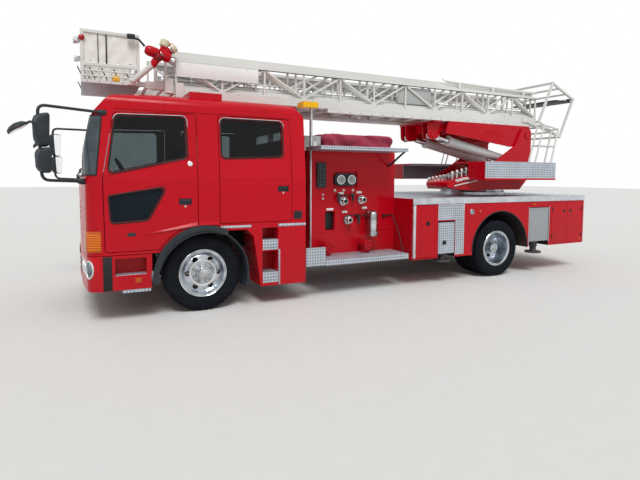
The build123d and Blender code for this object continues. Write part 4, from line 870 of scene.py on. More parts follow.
class Coachwork:
    """Gives each node of the frame its finishes and softens its folded edges."""

    edge: float = 0.003
    weld: float = 0.00002
    fold: float = 40.0
    finishes: dict[str, Finish] = {
        "cab_shell": RED, "cab_glass": GLASS, "cab_interior": DASH_BLACK, "bumper": RED,
        "lamps": CLEAR_LENS, "arch_flares": DARK_PLASTIC, "cab_skirts": RED, "mirrors": TRIM,
        "pump_house": RED, "pump_fittings": STEEL, "bay_treads": TREAD, "hose_cover": CANVAS,
        "rear_body": RED,
        "slew_ring": STEEL, "ladder_rest": RED, "roof_boxes": RED, "chassis_frame": FRAME_BLACK,
        "axles": FRAME_BLACK, "engine_block": ENGINE_GREY, "turntable": RED, "platforms": TREAD,
        "lever_console": RED, "lift_barrels": LADDER_WHITE, "lift_rods": CHROME, "lifting_frame": RED,
        "base_rails": LADDER_WHITE, "rear_guard": LADDER_WHITE, "basket_frame": LADDER_WHITE,
        "basket_panels": BASKET_CLOTH,
    }
    families: dict[str, Finish] = {
        "door_": RED, "glass_": GLASS, "locker_door_": RED, "outrigger_": BEAM_GREY, "jack_": BEAM_GREY,
        "knuckle_": FRAME_BLACK, "front_rim_": WHEEL_PLATED, "rear_rims_": WHEEL_PLATED,
        "front_tyre_": RUBBER, "rear_tyres_": RUBBER, "ladder_": LADDER_WHITE,
    }

    def zones(self, name: str) -> list[tuple[Finish, Test]]:
        """The parts of a node that have another finish.

        Args:
            name: The node's name.

        Returns:
            Each finish with a test of a face's middle, from under the front axle, and its normal.
        """
        tables: dict[str, list[tuple[Finish, Test]]] = {
            "lamps": [(TAIL_RED, lambda p, n: p.x < -5), (AMBER, lambda p, n: p.z > 0.7)],
            "cab_shell": [(CABIN_GREY, lambda p, n: n.dot(p - Vector((0, 0, 1.6))) < 0
                           and -1.142 < p.x < 1.144
                           and abs(p.y) < 1.120 - max(0.0, p.z - 1.44) * 0.1023
                           and 0.962 < p.z < 2.27)],
            "bumper": [(TREAD, lambda p, n: n.z > 0.9 and 0.45 < p.z < 0.5 and p.x < 0.89),
                       (DARK_PLASTIC, lambda p, n: abs(p.y) < 0.561 and 0.4 < p.z < 0.57 and p.x > 1.1
                        and n.x < 0.6)],
            "cab_skirts": [(TREAD, lambda p, n: n.z > 0.9 and -0.85 < p.x < -0.64 and p.z < 0.8)],
            "pump_fittings": [
                (STEEL, lambda p, n: 1.36 < p.z < 1.5 and abs(p.y) > 0.7325 and -2.1 < p.x < -1.81),
                (DARK_PLASTIC, lambda p, n: 1.34 < p.z < 1.52 and -2.14 < p.x < -1.78),
                (DARK_PLASTIC, lambda p, n: 1.32 < p.z < 1.66 and p.x > -1.67),
                (DARK_PLASTIC, lambda p, n: 0.76 < abs(p.y) and 1.145 < p.z < 1.26
                 and (abs(p.x + 1.83) < 0.018 or abs(p.x + 2.05) < 0.018)),
                (DARK_PLASTIC, lambda p, n: 0.845 < p.z < 0.96 and abs(p.x + 2.14) < 0.018),
                (RED, lambda p, n: p.z < 0.65)],
            "bay_treads": [(BOX_GREY, lambda p, n: p.z > 1.845 or abs(p.y) < 0.67),
                           (DARK_PLASTIC, lambda p, n: p.x < -2.62 and 1.59 < p.z < 1.7949
                            and abs(p.y) < 1.12)],
            "rear_body": [
                (TRIM, lambda p, n: abs(p.y) > 1.1505 or p.x < -6.1904
                 or (p.z > 1.17 and abs(p.y) > 1.1)),
                (TREAD, lambda p, n: p.z > 1.1802 or (n.z > 0.9 and p.z > 1.17)),
                (FRAME_BLACK, lambda p, n: abs(p.y) < 1.149
                 and math.dist((p.x, p.z), (REAR_AXLE, AXLE_Z)) < 0.562
                 or (abs(p.y) < 1.149 and p.z < 0.42 and abs(p.x - REAR_AXLE) < 0.56)),
                (FRAME_BLACK, lambda p, n: abs(p.y) < 1.149
                 and (abs(p.x + 3.315) < 0.15 or abs(p.x + 5.145) < 0.22) and p.z < 1.016),
                (TRIM, lambda p, n: -3.127 < p.x < -2.768 and abs(p.y) < 1.149
                 and 0.404 < p.z < 1.096)],
            "turntable": [(STEEL, lambda p, n: p.z < 1.2645)],
            "platforms": [(RED, lambda p, n: n.x > 0.9)],
            "lever_console": [(LADDER_WHITE, lambda p, n: 0.72 < p.y < 0.76 and -4.25 < p.x < -3.7
                               and p.z > 1.565 - (p.x + 4.3) * 0.235)],
            "roof_boxes": [(LAMP_YELLOW, lambda p, n: p.x < -1 and p.z > 2.2999),
                           (STEEL, lambda p, n: p.x < -1)],
            "basket_frame": [
                (CAP_CREAM, lambda p, n: p.y > 0.488 and p.x < 0.223),
                (RED, lambda p, n: p.y > 0.488 and p.x < 0.44),
                (TREAD, lambda p, n: p.z < 2.485 and abs(n.z) > 0.9 and abs(p.y) < 0.47
                 and p.x > 0.58)],
        }
        if name.startswith("door_"):
            side = 1 if name.endswith("left") else -1
            x, z = (0.196, 1.204) if "front" in name else (-0.903, 1.330)
            return [(DARK_PLASTIC, lambda p, n: abs(p.y) > 1.128 and abs(p.x - x) < 0.0655
                     and abs(p.z - z) < 0.0335 and abs(p.y) < 1.1496),
                    (CABIN_GREY, lambda p, n: n.y * side < -0.3)]
        if name.startswith("outrigger_"):
            cover = TREAD if "front" in name else LOCKER_SILVER
            return [(cover, lambda p, n: abs(p.y) > 1.1315)]
        if name.startswith("glass_front"):
            # The kerb window's lower part: opaque glass whose dark colour is painted shade of the cab
            # behind it.
            return [(KERB_GLASS_PAINTED_SHADE, lambda p, n: p.z < 1.38 and p.x > 0.3)]
        if name.startswith("locker_door_"):
            return [(TRIM, lambda p, n: abs(n.x) > 0.9)]
        return tables.get(name, [])

    def finish_of(self, name: str) -> Finish:
        """The finish of a node, by its own name or its family's.

        Args:
            name: The node's name.

        Returns:
            The finish.
        """
        if name in self.finishes:
            return self.finishes[name]
        return next(finish for start, finish in self.families.items() if name.startswith(start))

    def dress(self) -> None:
        """Gives every node its materials, and softens edges on all but the glass."""
        for name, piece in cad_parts.items():
            finish = self.finish_of(name)
            zones = self.zones(name)
            data = piece.data
            data.materials.clear()
            for each in [finish] + [zone[0] for zone in zones]:
                data.materials.append(each.material())
            for face in data.polygons if zones else ():
                place = face.center - at(0, 0, 0)
                found = [i for i, (_, test) in enumerate(zones, 1) if test(place, face.normal)]
                face.material_index = found[0] if found else 0
            if finish is not GLASS:
                self.soften(piece)

    def soften(self, piece: bpy.types.Object) -> None:
        """Joins the panels' shared edges and rounds them a little.

        Args:
            piece: The node's object.
        """
        weld = piece.modifiers.new("join", "WELD")
        weld.merge_threshold = self.weld
        bevel = piece.modifiers.new("soften", "BEVEL")
        bevel.width = self.edge
        bevel.segments = 2
        bevel.limit_method = "ANGLE"
        bevel.angle_limit = math.radians(self.fold)
        bevel.harden_normals = True


@dataclass
class Wheels(Flank):
    """Tyres with their tread, nuts, caps and trim rings on one side's wheels."""

    radius: float = 0.419
    half_width: float = 0.1222
    bead: float = 0.262
    front_y: float = 0.950
    rear_y: float = 0.970
    twin: float = 0.280
    steps: int = 120
    groove: float = 0.009
    groove_y: tuple[float, ...] = (0.052, 0.0, -0.052)
    block_steps: int = 3
    block_cut: float = 0.007
    shoulder_y: float = 0.070
    shoulder_radius: float = 0.385
    nuts: int = 8
    # The circle's radius, how far out the disc's face lies, and a nut's half width
    front_nuts: tuple[float, float, float] = (0.0985, 0.0875, 0.0135)
    rear_nuts: tuple[float, float, float] = (0.118, -0.126, 0.015)
    end_bolts: int = 8
    flange_ring: ClassVar[tuple[Point, ...]] = ((0.2535, 0.1080), (0.2585, 0.1115), (0.2620, 0.1080),
                                                (0.2585, 0.1045))

    def build(self) -> None:
        """Dresses the front wheel and the rear twins."""
        name = self.name
        front = self.at(0, self.front_y, AXLE_Z)
        rear = self.at(REAR_AXLE, self.rear_y, AXLE_Z)
        tyre = self.tyres(f"front_tyre_tread_{name}", [front], f"front_wheel_{name}")
        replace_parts(tyre, f"front_tyre_{name}")
        twins = self.tyres(f"rear_tyre_treads_{name}", [rear, rear - self.out * self.twin],
                           f"rear_wheels_{name}")
        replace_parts(twins, f"rear_tyres_{name}")
        self.front_hub(front)
        self.rear_hub(rear)

    def profile(self) -> list[tuple[float, float]]:
        """The tyre's section, with three grooves round the tread.

        Returns:
            Rows of (radius, distance along the axle), outer flank first.
        """
        half, top = self.half_width, self.radius
        flank = [(0.2385, 0.093), (self.bead, 0.100), (0.272, 0.108), (0.286, 0.111), (0.300, 0.1165),
                 (0.340, half), (0.366, 0.1215), (0.386, 0.116), (0.399, 0.111), (0.406, 0.104),
                 (top - 0.003, 0.096)]
        crown = []
        for centre in self.groove_y:
            floor = top - self.groove
            crown += [(top, centre + 0.0075), (floor, centre + 0.005), (floor, centre - 0.005),
                      (top, centre - 0.0075)]
        return flank + crown + [(radius, -out) for radius, out in reversed(flank)]

    def tyres(self, name: str, centres: Sequence[Vector], body: str) -> bpy.types.Object:
        """One or two tyres with grooves, shoulder blocks and raised rings on the flanks.

        Args:
            name: The piece's name.
            centres: The tyres' middles.
            body: The body that turns them.

        Returns:
            The piece.
        """
        blank = Blank()
        profile, way = self.profile(), self.out
        side = way.orthogonal().normalized()
        up = way.cross(side)
        for centre in centres:
            loops = []
            for step in range(self.steps):
                angle = 2 * math.pi * step / self.steps
                out = side * math.cos(angle) + up * math.sin(angle)
                cut = self.block_cut if step % self.block_steps == 0 else 0.0
                loop = []
                for radius, along in profile:
                    shoulder = abs(along) > self.shoulder_y and radius > self.shoulder_radius
                    loop.append(centre + out * (radius - (cut if shoulder else 0.0)) + way * along)
                loops.append(loop)
            blank.rings(loops, closed=True)
        return blank.made(name, RUBBER, Slot.TYRE, body, angle=28)

    def nut_circle(self, blank: Blank, centre: Vector, radius: float, out: float, size: float) -> None:
        """A circle of wheel nuts with their washers and stud ends.

        Args:
            blank: The mesh to add to.
            centre: The wheel's middle.
            radius: The circle's radius.
            out: How far out the disc's face lies.
            size: A nut's half width.
        """
        way = self.out
        side = way.orthogonal().normalized()
        up = way.cross(side)
        for i in range(self.nuts):
            angle = 2 * math.pi * (i + 0.5) / self.nuts
            place = centre + (side * math.cos(angle) + up * math.sin(angle)) * radius
            blank.rod(size * 1.35, out, out + 0.003, place, way, 20)
            blank.stacked([(size, out + 0.003), (size, out + 0.017), (size * 0.8, out + 0.020)], place,
                          way, 6)
            blank.stacked([(size * 0.45, out + 0.018), (size * 0.4, out + 0.030)], place, way, 12)

    def front_hub(self, centre: Vector) -> None:
        """Nuts, a domed cap, a polished ring on the disc and a bright ring on the flange.

        Args:
            centre: The wheel's middle.
        """
        name, way = self.name, self.out
        blank = Blank()
        self.nut_circle(blank, centre, *self.front_nuts)
        blank.stacked([(0.060, 0.128), (0.060, 0.138), (0.052, 0.150), (0.030, 0.157), (0.004, 0.159)],
                      centre, way, 32)
        blank.made(f"front_hub_nuts_{name}", STEEL, Slot.STEEL, f"front_wheel_{name}")
        blank = Blank()
        blank.turned(self.flange_ring, centre, way, 96)
        blank.turned([(0.118, 0.0885), (0.123, 0.0960), (0.135, 0.0990), (0.148, 0.0985),
                      (0.150, 0.0950), (0.135, 0.0890)], centre, way, 72)
        blank.made(f"front_trim_rings_{name}", CHROME, Slot.CHROME, f"front_wheel_{name}")

    def rear_hub(self, centre: Vector) -> None:
        """Nuts in the deep dish, bolts round the hub's end and a bright ring on the flange.

        Args:
            centre: The outer wheel's middle.
        """
        name, way = self.name, self.out
        blank = Blank()
        self.nut_circle(blank, centre, *self.rear_nuts)
        side = way.orthogonal().normalized()
        up = way.cross(side)
        blank.stacked([(0.040, 0.058), (0.040, 0.066), (0.030, 0.072)], centre, way, 24)
        for i in range(self.end_bolts):
            angle = 2 * math.pi * i / self.end_bolts
            place = centre + (side * math.cos(angle) + up * math.sin(angle)) * 0.055
            blank.rod(0.0075, 0.058, 0.067, place, way, 6)
        blank.made(f"rear_hub_nuts_{name}", STEEL, Slot.STEEL, f"rear_wheels_{name}")
        blank = Blank()
        blank.turned(self.flange_ring, centre, way, 96)
        blank.made(f"rear_trim_ring_{name}", CHROME, Slot.CHROME, f"rear_wheels_{name}")


@dataclass
class CabTrim(Flank):
    """Seals, bright trim, locks, lamps and steps on one side of the double cab."""

    front_window: tuple[Point, ...] = ((0.922, 1.500, 0.040), (0.846, 2.062, 0.045),
                                       (0.180, 2.078, 0.040), (0.172, 1.663, 0.040))
    rear_window: tuple[Point, ...] = ((-0.206, 1.672, 0.040), (-0.206, 2.082, 0.040),
                                      (-0.905, 2.082, 0.045), (-0.905, 1.700, 0.040))
    kerb_window: tuple[Point, ...] = ((0.924, 1.269, 0.020), (0.386, 1.354, 0.030),
                                      (0.569, 1.029, 0.040), (0.908, 1.008, 0.030))
    presses: ClassVar[dict[str, tuple]] = {
        "front": (((0.925, 1.466), (0.085, 1.664)), ((0.600, 1.368), (0.095, 1.420))),
        "rear": (((-0.195, 1.428), (-0.945, 1.440)),),
    }
    seal: float = 0.009
    trim: float = 0.0045
    trim_drop: float = 0.12
    lamp_half: tuple[float, float] = (0.050, 0.086)

    def build(self) -> None:
        """Dresses both doors, the flank, the corner and the step."""
        self.door("front", self.front_window)
        self.door("rear", self.rear_window)
        self.sides()
        self.arch()
        self.corner_glass()
        self.corner_lamp()
        self.step()

    def window_edge(self, skin: Skin, table: Sequence[Point], by: float) -> list[tuple[Vector, Vector]]:
        """Points and normals round a window on a side's skin."""
        line = close_spaced(grown(rounded(table, 6), by), 0.06)
        return [skin.beside(point.x, point.y, self.side) for point in line]

    def door(self, where: str, table: Sequence[Point]) -> None:
        """Rubber seals, bright strips and locks on one door.

        Args:
            where: Front or rear.
            table: The window's corners with their radii.
        """
        body = f"door_{where}_{self.name}"
        skin = Skin(body)
        blank = Blank()
        edge = self.window_edge(skin, table, 0.010)
        blank.pipe([point + normal * 0.002 for point, normal in edge], self.seal, 8, closed=True)
        if where == "front" and self.side > 0:
            low = self.window_edge(skin, self.kerb_window, 0.008)
            blank.pipe([point + normal * 0.001 for point, normal in low], 0.007, 8, closed=True)
        blank.made(f"window_seals_{where}_{self.name}", SEAL, Slot.PLASTIC, body)
        outer = self.window_edge(skin, table, 0.0205)
        top = max(point.z for point, _ in outer) - self.trim_drop
        start = next(i for i in range(len(outer)) if outer[i - 1][0].z < top <= outer[i][0].z)
        strip = [hit for hit in outer[start:] + outer[:start] if hit[0].z >= top]
        blank = Blank()
        blank.pipe([point + normal * 0.001 for point, normal in strip], self.trim, 6)
        blank.made(f"window_trim_{where}_{self.name}", CHROME, Slot.CHROME, body)
        blank = Blank()
        for start, end in self.presses[where]:
            line = [(start[0] + (end[0] - start[0]) * t / 12, start[1] + (end[1] - start[1]) * t / 12)
                    for t in range(13)]
            press = Blank()
            press.ribbon([skin.beside(x, z, self.side) for x, z in line], 0.011, 0.003)
            press.made(f"pressed_line_{where}_{self.name}_{round(start[1] * 1000)}", RED, Slot.RED,
                       body, angle=15)
        x, z = (0.140, 1.599) if where == "front" else (-0.903, 1.283)
        point, normal = skin.beside(x, z, self.side)
        size = 0.026 if where == "front" else 0.010
        blank.stacked([(size, -0.002), (size, 0.003), (size * 0.8, 0.005), (size * 0.35, 0.006)], point,
                      normal, 28)
        if where == "front":
            key, key_normal = skin.beside(0.196, 1.155, self.side)
            blank.stacked([(0.010, -0.002), (0.010, 0.003), (0.006, 0.004)], key, key_normal, 20)
        blank.made(f"door_locks_{where}_{self.name}", CHROME, Slot.CHROME, body)
        if where == "front":
            self.ledge(body)

    def ledge(self, body: str) -> None:
        """The shallow pressed ledge that rises over the wheel arch, and the small reflector below it.

        Args:
            body: The door's body.
        """
        blank = Blank()
        loops = []
        for i in range(13):
            t = i / 12
            x = 0.640 + (0.075 - 0.640) * t
            low = 0.876 + (0.950 - 0.876) * t
            high = low + 0.004 + 0.034 * t
            y = self.side * FLANK
            loops.append([at(x, y - self.side * 0.001, low - 0.003),
                          at(x, y + self.side * 0.020 * (0.3 + 0.7 * t), low),
                          at(x, y - self.side * 0.001, high)])
        blank.rings(loops)
        blank.made(f"door_ledge_{self.name}", RED, Slot.RED, body, angle=20)
        blank = Blank()
        blank.slab(0.690, 0.766, FLANK, self.side, 0.868, 0.902, 0.004)
        blank.made(f"door_reflector_{self.name}", DARK_PLASTIC, Slot.PLASTIC, body)

    def sides(self) -> None:
        """Roof gutter, arch strips, bumper corner guard, indicator ribs and the pillar's ledge."""
        skin = Skin("cab_shell")
        blank = Blank()
        gutter = [skin.beside(0.86 - i * 0.095, 2.139 + 0.004 * math.sin(i / 20 * math.pi), self.side)
                  for i in range(21)]
        blank.ribbon(gutter, 0.014, 0.007)
        loops = []
        for x, height in ((0.058, 0.038), (-0.145, 0.038), (-0.158, 0.020)):
            y = self.side * FLANK
            loops.append([at(x, y - self.side * 0.001, 0.949), at(x, y + self.side * 0.020, 0.952),
                          at(x, y - self.side * 0.001, 0.952 + height)])
        blank.rings(loops)
        blank.made(f"roof_gutter_{self.name}", RED, Slot.RED)
        blank = Blank()
        blank.slab(-0.520, -0.180, FLANK, self.side, 0.905, 0.932, 0.004)
        blank.slab(-1.185, -0.842, FLANK, self.side, 0.900, 0.932, 0.004)
        blank.slab(-0.862, -0.842, FLANK, self.side, 0.235, 0.640, 0.003)
        for z0, z1 in ((0.262, 0.374), (0.638, 0.747)):
            blank.slab(-0.836, -0.654, FLANK, self.side, z0, z1, 0.003)
            self.tread(blank, (-0.834, FLANK + 0.003, z0 + 0.004), 0.178, z1 - z0 - 0.004)
        for z in (0.376, 0.749):
            blank.block(*self.corners((-0.838, -0.652), (0.935, 1.152), (z - 0.001, z + 0.004)), 0.001)
            self.floor_tread(blank, (-0.838, 0.94, z + 0.004), 0.186, 0.21)
        blank.made(f"skirt_treads_{self.name}", TREAD, Slot.TREAD)
        blank = Blank()
        blank.slab(0.912, 0.995, FLANK, self.side, 0.334, 0.674, 0.005)
        blank.block(*self.corners((-1.118, -1.047), (1.154, 1.156), (0.999, 1.058)), 0.0004)
        blank.made(f"corner_guard_{self.name}", SEAL, Slot.PLASTIC)
        blank = Blank()
        lamp = Skin("lamps")
        for z in (0.752, 0.776, 0.800, 0.824, 0.848, 0.872, 0.896):
            hits = [lamp.beside(x, z, self.side) for x in (1.012, 1.04, 1.07, 1.10, 1.125)]
            blank.ribbon(hits, 0.009, 0.002)
        blank.made(f"indicator_ribs_{self.name}", AMBER_RIB, Slot.LAMP)

    def arch(self) -> None:
        """The deep inner lip of the front wheel's flare."""
        loops = []
        for i in range(41):
            angle = math.radians(4 + i * 2.9)
            inner = 0.478 - 0.040 * math.sin(math.pi * i / 40) ** 0.6 - 0.001
            loops.append([self.at(radius * math.cos(angle), y, AXLE_Z + radius * math.sin(angle))
                          for radius, y in ((inner, 1.130), (inner, 1.156), (0.480, 1.168),
                                            (0.480, 1.130))])
        blank = Blank()
        blank.rings(loops)
        blank.made(f"arch_lip_{self.name}", DARK_PLASTIC, Slot.PLASTIC)

    def step(self) -> None:
        """Tread bars on the bumper's foot recess and on the step below it, with a lamp in the riser."""
        blank = Blank()
        blank.block(*self.corners((0.596, 0.880), (1.02, 1.151), (0.4795, 0.4835)), 0.001)
        self.floor_tread(blank, (0.60, 1.02, 0.4835), 0.28, 0.125)
        blank.slab(0.552, 0.818, FLANK, self.side, 0.302, 0.328, 0.003)
        self.tread(blank, (0.553, 1.153, 0.300), 0.264, 0.0345)
        blank.made(f"cab_step_tread_{self.name}", TREAD, Slot.TREAD)
        blank = Blank()
        blank.slab(0.640, 0.700, FLANK, self.side, 0.395, 0.445, 0.006)
        blank.made(f"step_reflector_{self.name}", AMBER, Slot.LAMP)

    def corner_lamp(self) -> None:
        """The oval lamp let into the bumper's corner, with its bright ring."""
        skin = Skin("bumper", "cab_shell", "lamps")
        way = Vector((1, self.side, 0)).normalized()
        across = Vector((way.y, -way.x, 0))
        centre = self.at(1.092, 1.066, 0.550)
        loops = []
        for share, lift in ((1.0, 0.000), (0.85, 0.004), (0.55, 0.007), (0.2, 0.008)):
            loop = []
            for k in range(36):
                angle = math.pi * k / 18
                rise = Vector((0, 0, self.lamp_half[1] * share * math.sin(angle)))
                spot = across * (self.lamp_half[0] * share * math.cos(angle)) + rise
                point, _ = skin.seen_from(centre + spot + way * 0.6, -way)
                loop.append(point + way * lift)
            loops.append(loop)
        lens, ring = Blank(), Blank()
        lens.rings(loops)
        lens.made(f"corner_lamp_lens_{self.name}", LAMP_BOWL, Slot.LAMP)
        ring.pipe(loops[0], 0.010, 10, closed=True)
        ring.made(f"corner_lamp_ring_{self.name}", CHROME, Slot.CHROME)

    def corner_glass(self) -> None:
        """The windscreen's curved end, laid round the cab's corner as far as the pillar; opaque, its
        dark colour is painted shade of the cab behind the glass.
        """
        skin = Skin("cab_shell")
        rows = []
        for i in range(13):
            share = i / 12
            z = 1.478 + 0.572 * share
            hub = Vector((0.80, self.side * 0.80))
            first, _ = skin.beside(1.034 - 0.060 * share, z, self.side)
            last, _ = skin.ahead(self.side * (1.036 - 0.077 * share), z)
            ends = [Vector((end.x - FRONT_AXLE_X, end.y)) - hub for end in (first, last)]
            row = []
            for k in range(11):
                way = ends[0].normalized().lerp(ends[1].normalized(), k / 10).normalized()
                point, _ = skin.seen_from(at(hub.x + way.x * 3, hub.y + way.y * 3, z),
                                          -Vector((way.x, way.y, 0)))
                row.append((point, Vector((way.x, way.y, 0.15)).normalized()))
            rows.append(row)
        glass, seal = Blank(), Blank()
        loops = []
        for row in rows:
            loops.append([p - n * 0.002 for p, n in row] + [p + n * 0.0095 for p, n in reversed(row)])
        glass.rings(loops)
        glass.made(f"windscreen_end_{self.name}", SCREEN_END, Slot.GLASS, angle=50)
        outer, inner = [row[-1] for row in rows[1:-1]], [row[0] for row in rows[-2:0:-1]]
        rim = rows[0] + outer + rows[-1][::-1] + inner
        seal.pipe([p + n * 0.004 for p, n in rim], 0.008, 8, closed=True)
        seal.made(f"windscreen_end_seal_{self.name}", SEAL, Slot.PLASTIC)


@dataclass
class CabFront:
    """The windscreen's seal and wipers, the headlamps and the number plate."""

    windscreen: tuple[Point, ...] = ((-1.015, 1.478, 0.090), (-0.938, 2.038, 0.080),
                                     (0.938, 2.038, 0.080), (1.015, 1.478, 0.090))

    def build(self) -> None:
        """Dresses the front."""
        self.front()
        self.wipers()

    def front(self) -> None:
        """Windscreen seal, headlamp rings and lenses, and a bare number plate."""
        skin = Skin("cab_shell")
        line = close_spaced(grown(rounded(self.windscreen, 6), 0.012), 0.08)
        hits = [skin.ahead(point.x, point.y) for point in line]
        blank = Blank()
        blank.pipe([point + normal * 0.002 for point, normal in hits], 0.011, 8, closed=True)
        blank.made("windscreen_seal", SEAL, Slot.PLASTIC)
        lamp = Skin("lamps")
        rings, lenses = Blank(), Blank()
        for _, side in SIDES:
            for y in (0.735, 0.875):
                point, normal = lamp.ahead(side * y, 0.545)
                rings.turned([(0.050, -0.002), (0.056, 0.004), (0.062, 0.002), (0.062, -0.002)], point,
                             normal, 40)
                lenses.stacked([(0.051, -0.001), (0.048, 0.004), (0.034, 0.008), (0.012, 0.010)], point,
                               normal, 40)
        rings.made("headlamp_rings", CHROME, Slot.CHROME)
        lenses.made("headlamp_lenses", CLEAR_LENS, Slot.LAMP)
        blank = Blank()
        bumper = Skin("bumper")
        point, _ = bumper.ahead(0.0, 0.62)
        blank.block(point + Vector((-0.001, -0.165, -0.045)),
                    point + Vector((0.004, 0.165, 0.045)), 0.002)
        blank.made("number_plate_blank", SIGN_WHITE, Slot.WHITE)

    def wipers(self) -> None:
        """Two parked wipers with their arms, pivots and blades."""
        glass = Skin("cab_glass", "cab_shell")
        blank = Blank()
        for y, reach in ((0.42, -0.52), (-0.28, -0.50)):
            pivot, normal = glass.ahead(y, 1.455)
            blank.stacked([(0.018, -0.002), (0.016, 0.022), (0.010, 0.028)], pivot, normal, 20)
            arm = [glass.ahead(y + reach * t, 1.455 + 0.085 * t) for t in (0, 0.2, 0.4, 0.6, 0.8, 1)]
            blank.pipe([point + way * 0.024 for point, way in arm], 0.006, 8)
            blade = [glass.ahead(y + reach * (0.30 + 0.9 * t), 1.505 + 0.05 * t)
                     for t in (0, 0.25, 0.5, 0.75, 1)]
            blank.ribbon([(point + way * 0.004, way) for point, way in blade], 0.012, 0.014)
        blank.made("windscreen_wipers", SEAL, Slot.PLASTIC)


@dataclass
class Mirrors(Flank):
    """One side's mirror arm with its heads, turned to the driver."""

    tube: float = 0.014
    turn: float = 27.0
    reach: float = 1.250

    def build(self) -> None:
        """The arm, which stands for half of the frame's mirrors, and its heads."""
        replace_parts(self.arm(), "mirrors")
        self.heads()

    def arm(self) -> bpy.types.Object:
        """The bent tube between its two feet on the cab's corner.

        Returns:
            The piece.
        """
        corners = [(0.955, 1.074, 2.085), (1.500, self.reach, 2.105), (1.480, self.reach, 1.430),
                   (1.150, 1.050, 1.415)]
        line = []
        for i, corner in enumerate(corners):
            here = self.at(*corner)
            if 0 < i < len(corners) - 1:
                before, after = (self.at(*c) for c in (corners[i - 1], corners[i + 1]))
                first, last = (here + (end - here).normalized() * 0.07 for end in (before, after))
                line += [first.lerp(here, t).lerp(here.lerp(last, t), t)
                         for t in (0, 0.2, 0.4, 0.6, 0.8, 1)]
            else:
                line.append(here)
        blank = Blank()
        blank.pipe(line, self.tube, 14)
        for foot, way in ((line[0], line[1] - line[0]), (line[-1], line[-2] - line[-1])):
            blank.stacked([(0.030, -0.02), (0.030, 0.012), (0.021, 0.050), (0.016, 0.055)], foot,
                          way, 20)
        for x, z in ((1.485, 1.60), (1.494, 1.86)):
            blank.rod(0.018, -0.03, 0.03, self.at(x, self.reach, z), UP, 16)
        blank.pipe([self.at(1.488, self.reach, 1.93), self.at(1.56, self.reach, 1.95),
                    self.at(1.62, self.reach, 1.915)], 0.012, 10)
        return blank.made(f"mirror_arm_{self.name}", DARK_PLASTIC, Slot.PLASTIC)

    def heads(self) -> None:
        """The main, wide-angle and round mirrors: deep rounded shells with glass behind."""
        shells, faces = Blank(), Blank()
        back = Vector((-math.cos(math.radians(self.turn)),
                       -self.side * math.sin(math.radians(self.turn)), 0))
        across = Vector((back.y, -back.x, 0))
        # Columns: X, Z, half width, half height at the top's and the foot's corners, foot's half width
        for x, z, wide, high, foot in ((1.462, 1.880, 0.098, 0.152, 0.070),
                                       (1.450, 1.610, 0.096, 0.116, 0.070)):
            centre = self.at(x, self.reach, z)
            shape = rounded([(-wide, high, 0.035), (wide, high, 0.035), (foot, -high, 0.045),
                             (-foot, -high, 0.045)], 5)
            loops = []
            for share, depth in ((0.30, -0.075), (0.62, -0.066), (0.86, -0.045), (0.97, -0.018),
                                 (1.0, 0.010), (0.97, 0.022)):
                loops.append([centre + (across * p.x + UP * p.y) * share + back * depth for p in shape])
            shells.rings(loops)
            glass = [centre + (across * p.x + UP * p.y) * 0.93 for p in shape]
            faces.rings([[p + back * 0.0215 for p in glass], [p + back * 0.0235 for p in glass]])
        tilt = Vector((-0.54, 0, -0.84))
        centre = self.at(1.655, self.reach, 1.888)
        shells.stacked([(0.020, -0.046), (0.060, -0.036), (0.086, -0.016), (0.092, 0.004),
                        (0.088, 0.010)], centre, tilt, 40)
        faces.stacked([(0.084, 0.009), (0.060, 0.014), (0.020, 0.016)], centre, tilt, 40)
        shells.made(f"mirror_shells_{self.name}", DARK_PLASTIC, Slot.PLASTIC)
        faces.made(f"mirror_glasses_{self.name}", SILVERED, Slot.CHROME)


@dataclass
class CabSeats:
    """Padded seats and the dashboard's face inside the cab."""

    seat_y: float = 0.560
    bench_half: float = 0.984

    def build(self) -> None:
        """Pads over the seats' plain forms."""
        for name, side in SIDES:
            y = side * self.seat_y
            self.pad(f"front_seat_cushion_{name}", at(-0.165, y - 0.262, 1.215),
                     at(0.385, y + 0.262, 1.378))
            self.pad(f"front_seat_back_{name}", at(-0.202, y - 0.262, 1.290),
                     at(-0.075, y + 0.262, 1.875))
            self.pad(f"front_head_rest_{name}", at(-0.182, y - 0.142, 1.865),
                     at(-0.088, y + 0.142, 2.032))
        half = self.bench_half
        self.pad("rear_bench_cushion", at(-1.050, -half, 1.255), at(-0.625, half, 1.345))
        self.pad("rear_bench_back", at(-1.136, -half, 1.290), at(-1.025, half, 1.912))

    def pad(self, name: str, low: Vector, high: Vector) -> None:
        """One crowned pad.

        Args:
            name: The piece's name.
            low: Its low corner.
            high: Its high corner.
        """
        blank = Blank()
        blank.cushion(low, high, 0.22)
        blank.made(name, SEAT, Slot.PLASTIC, angle=60)


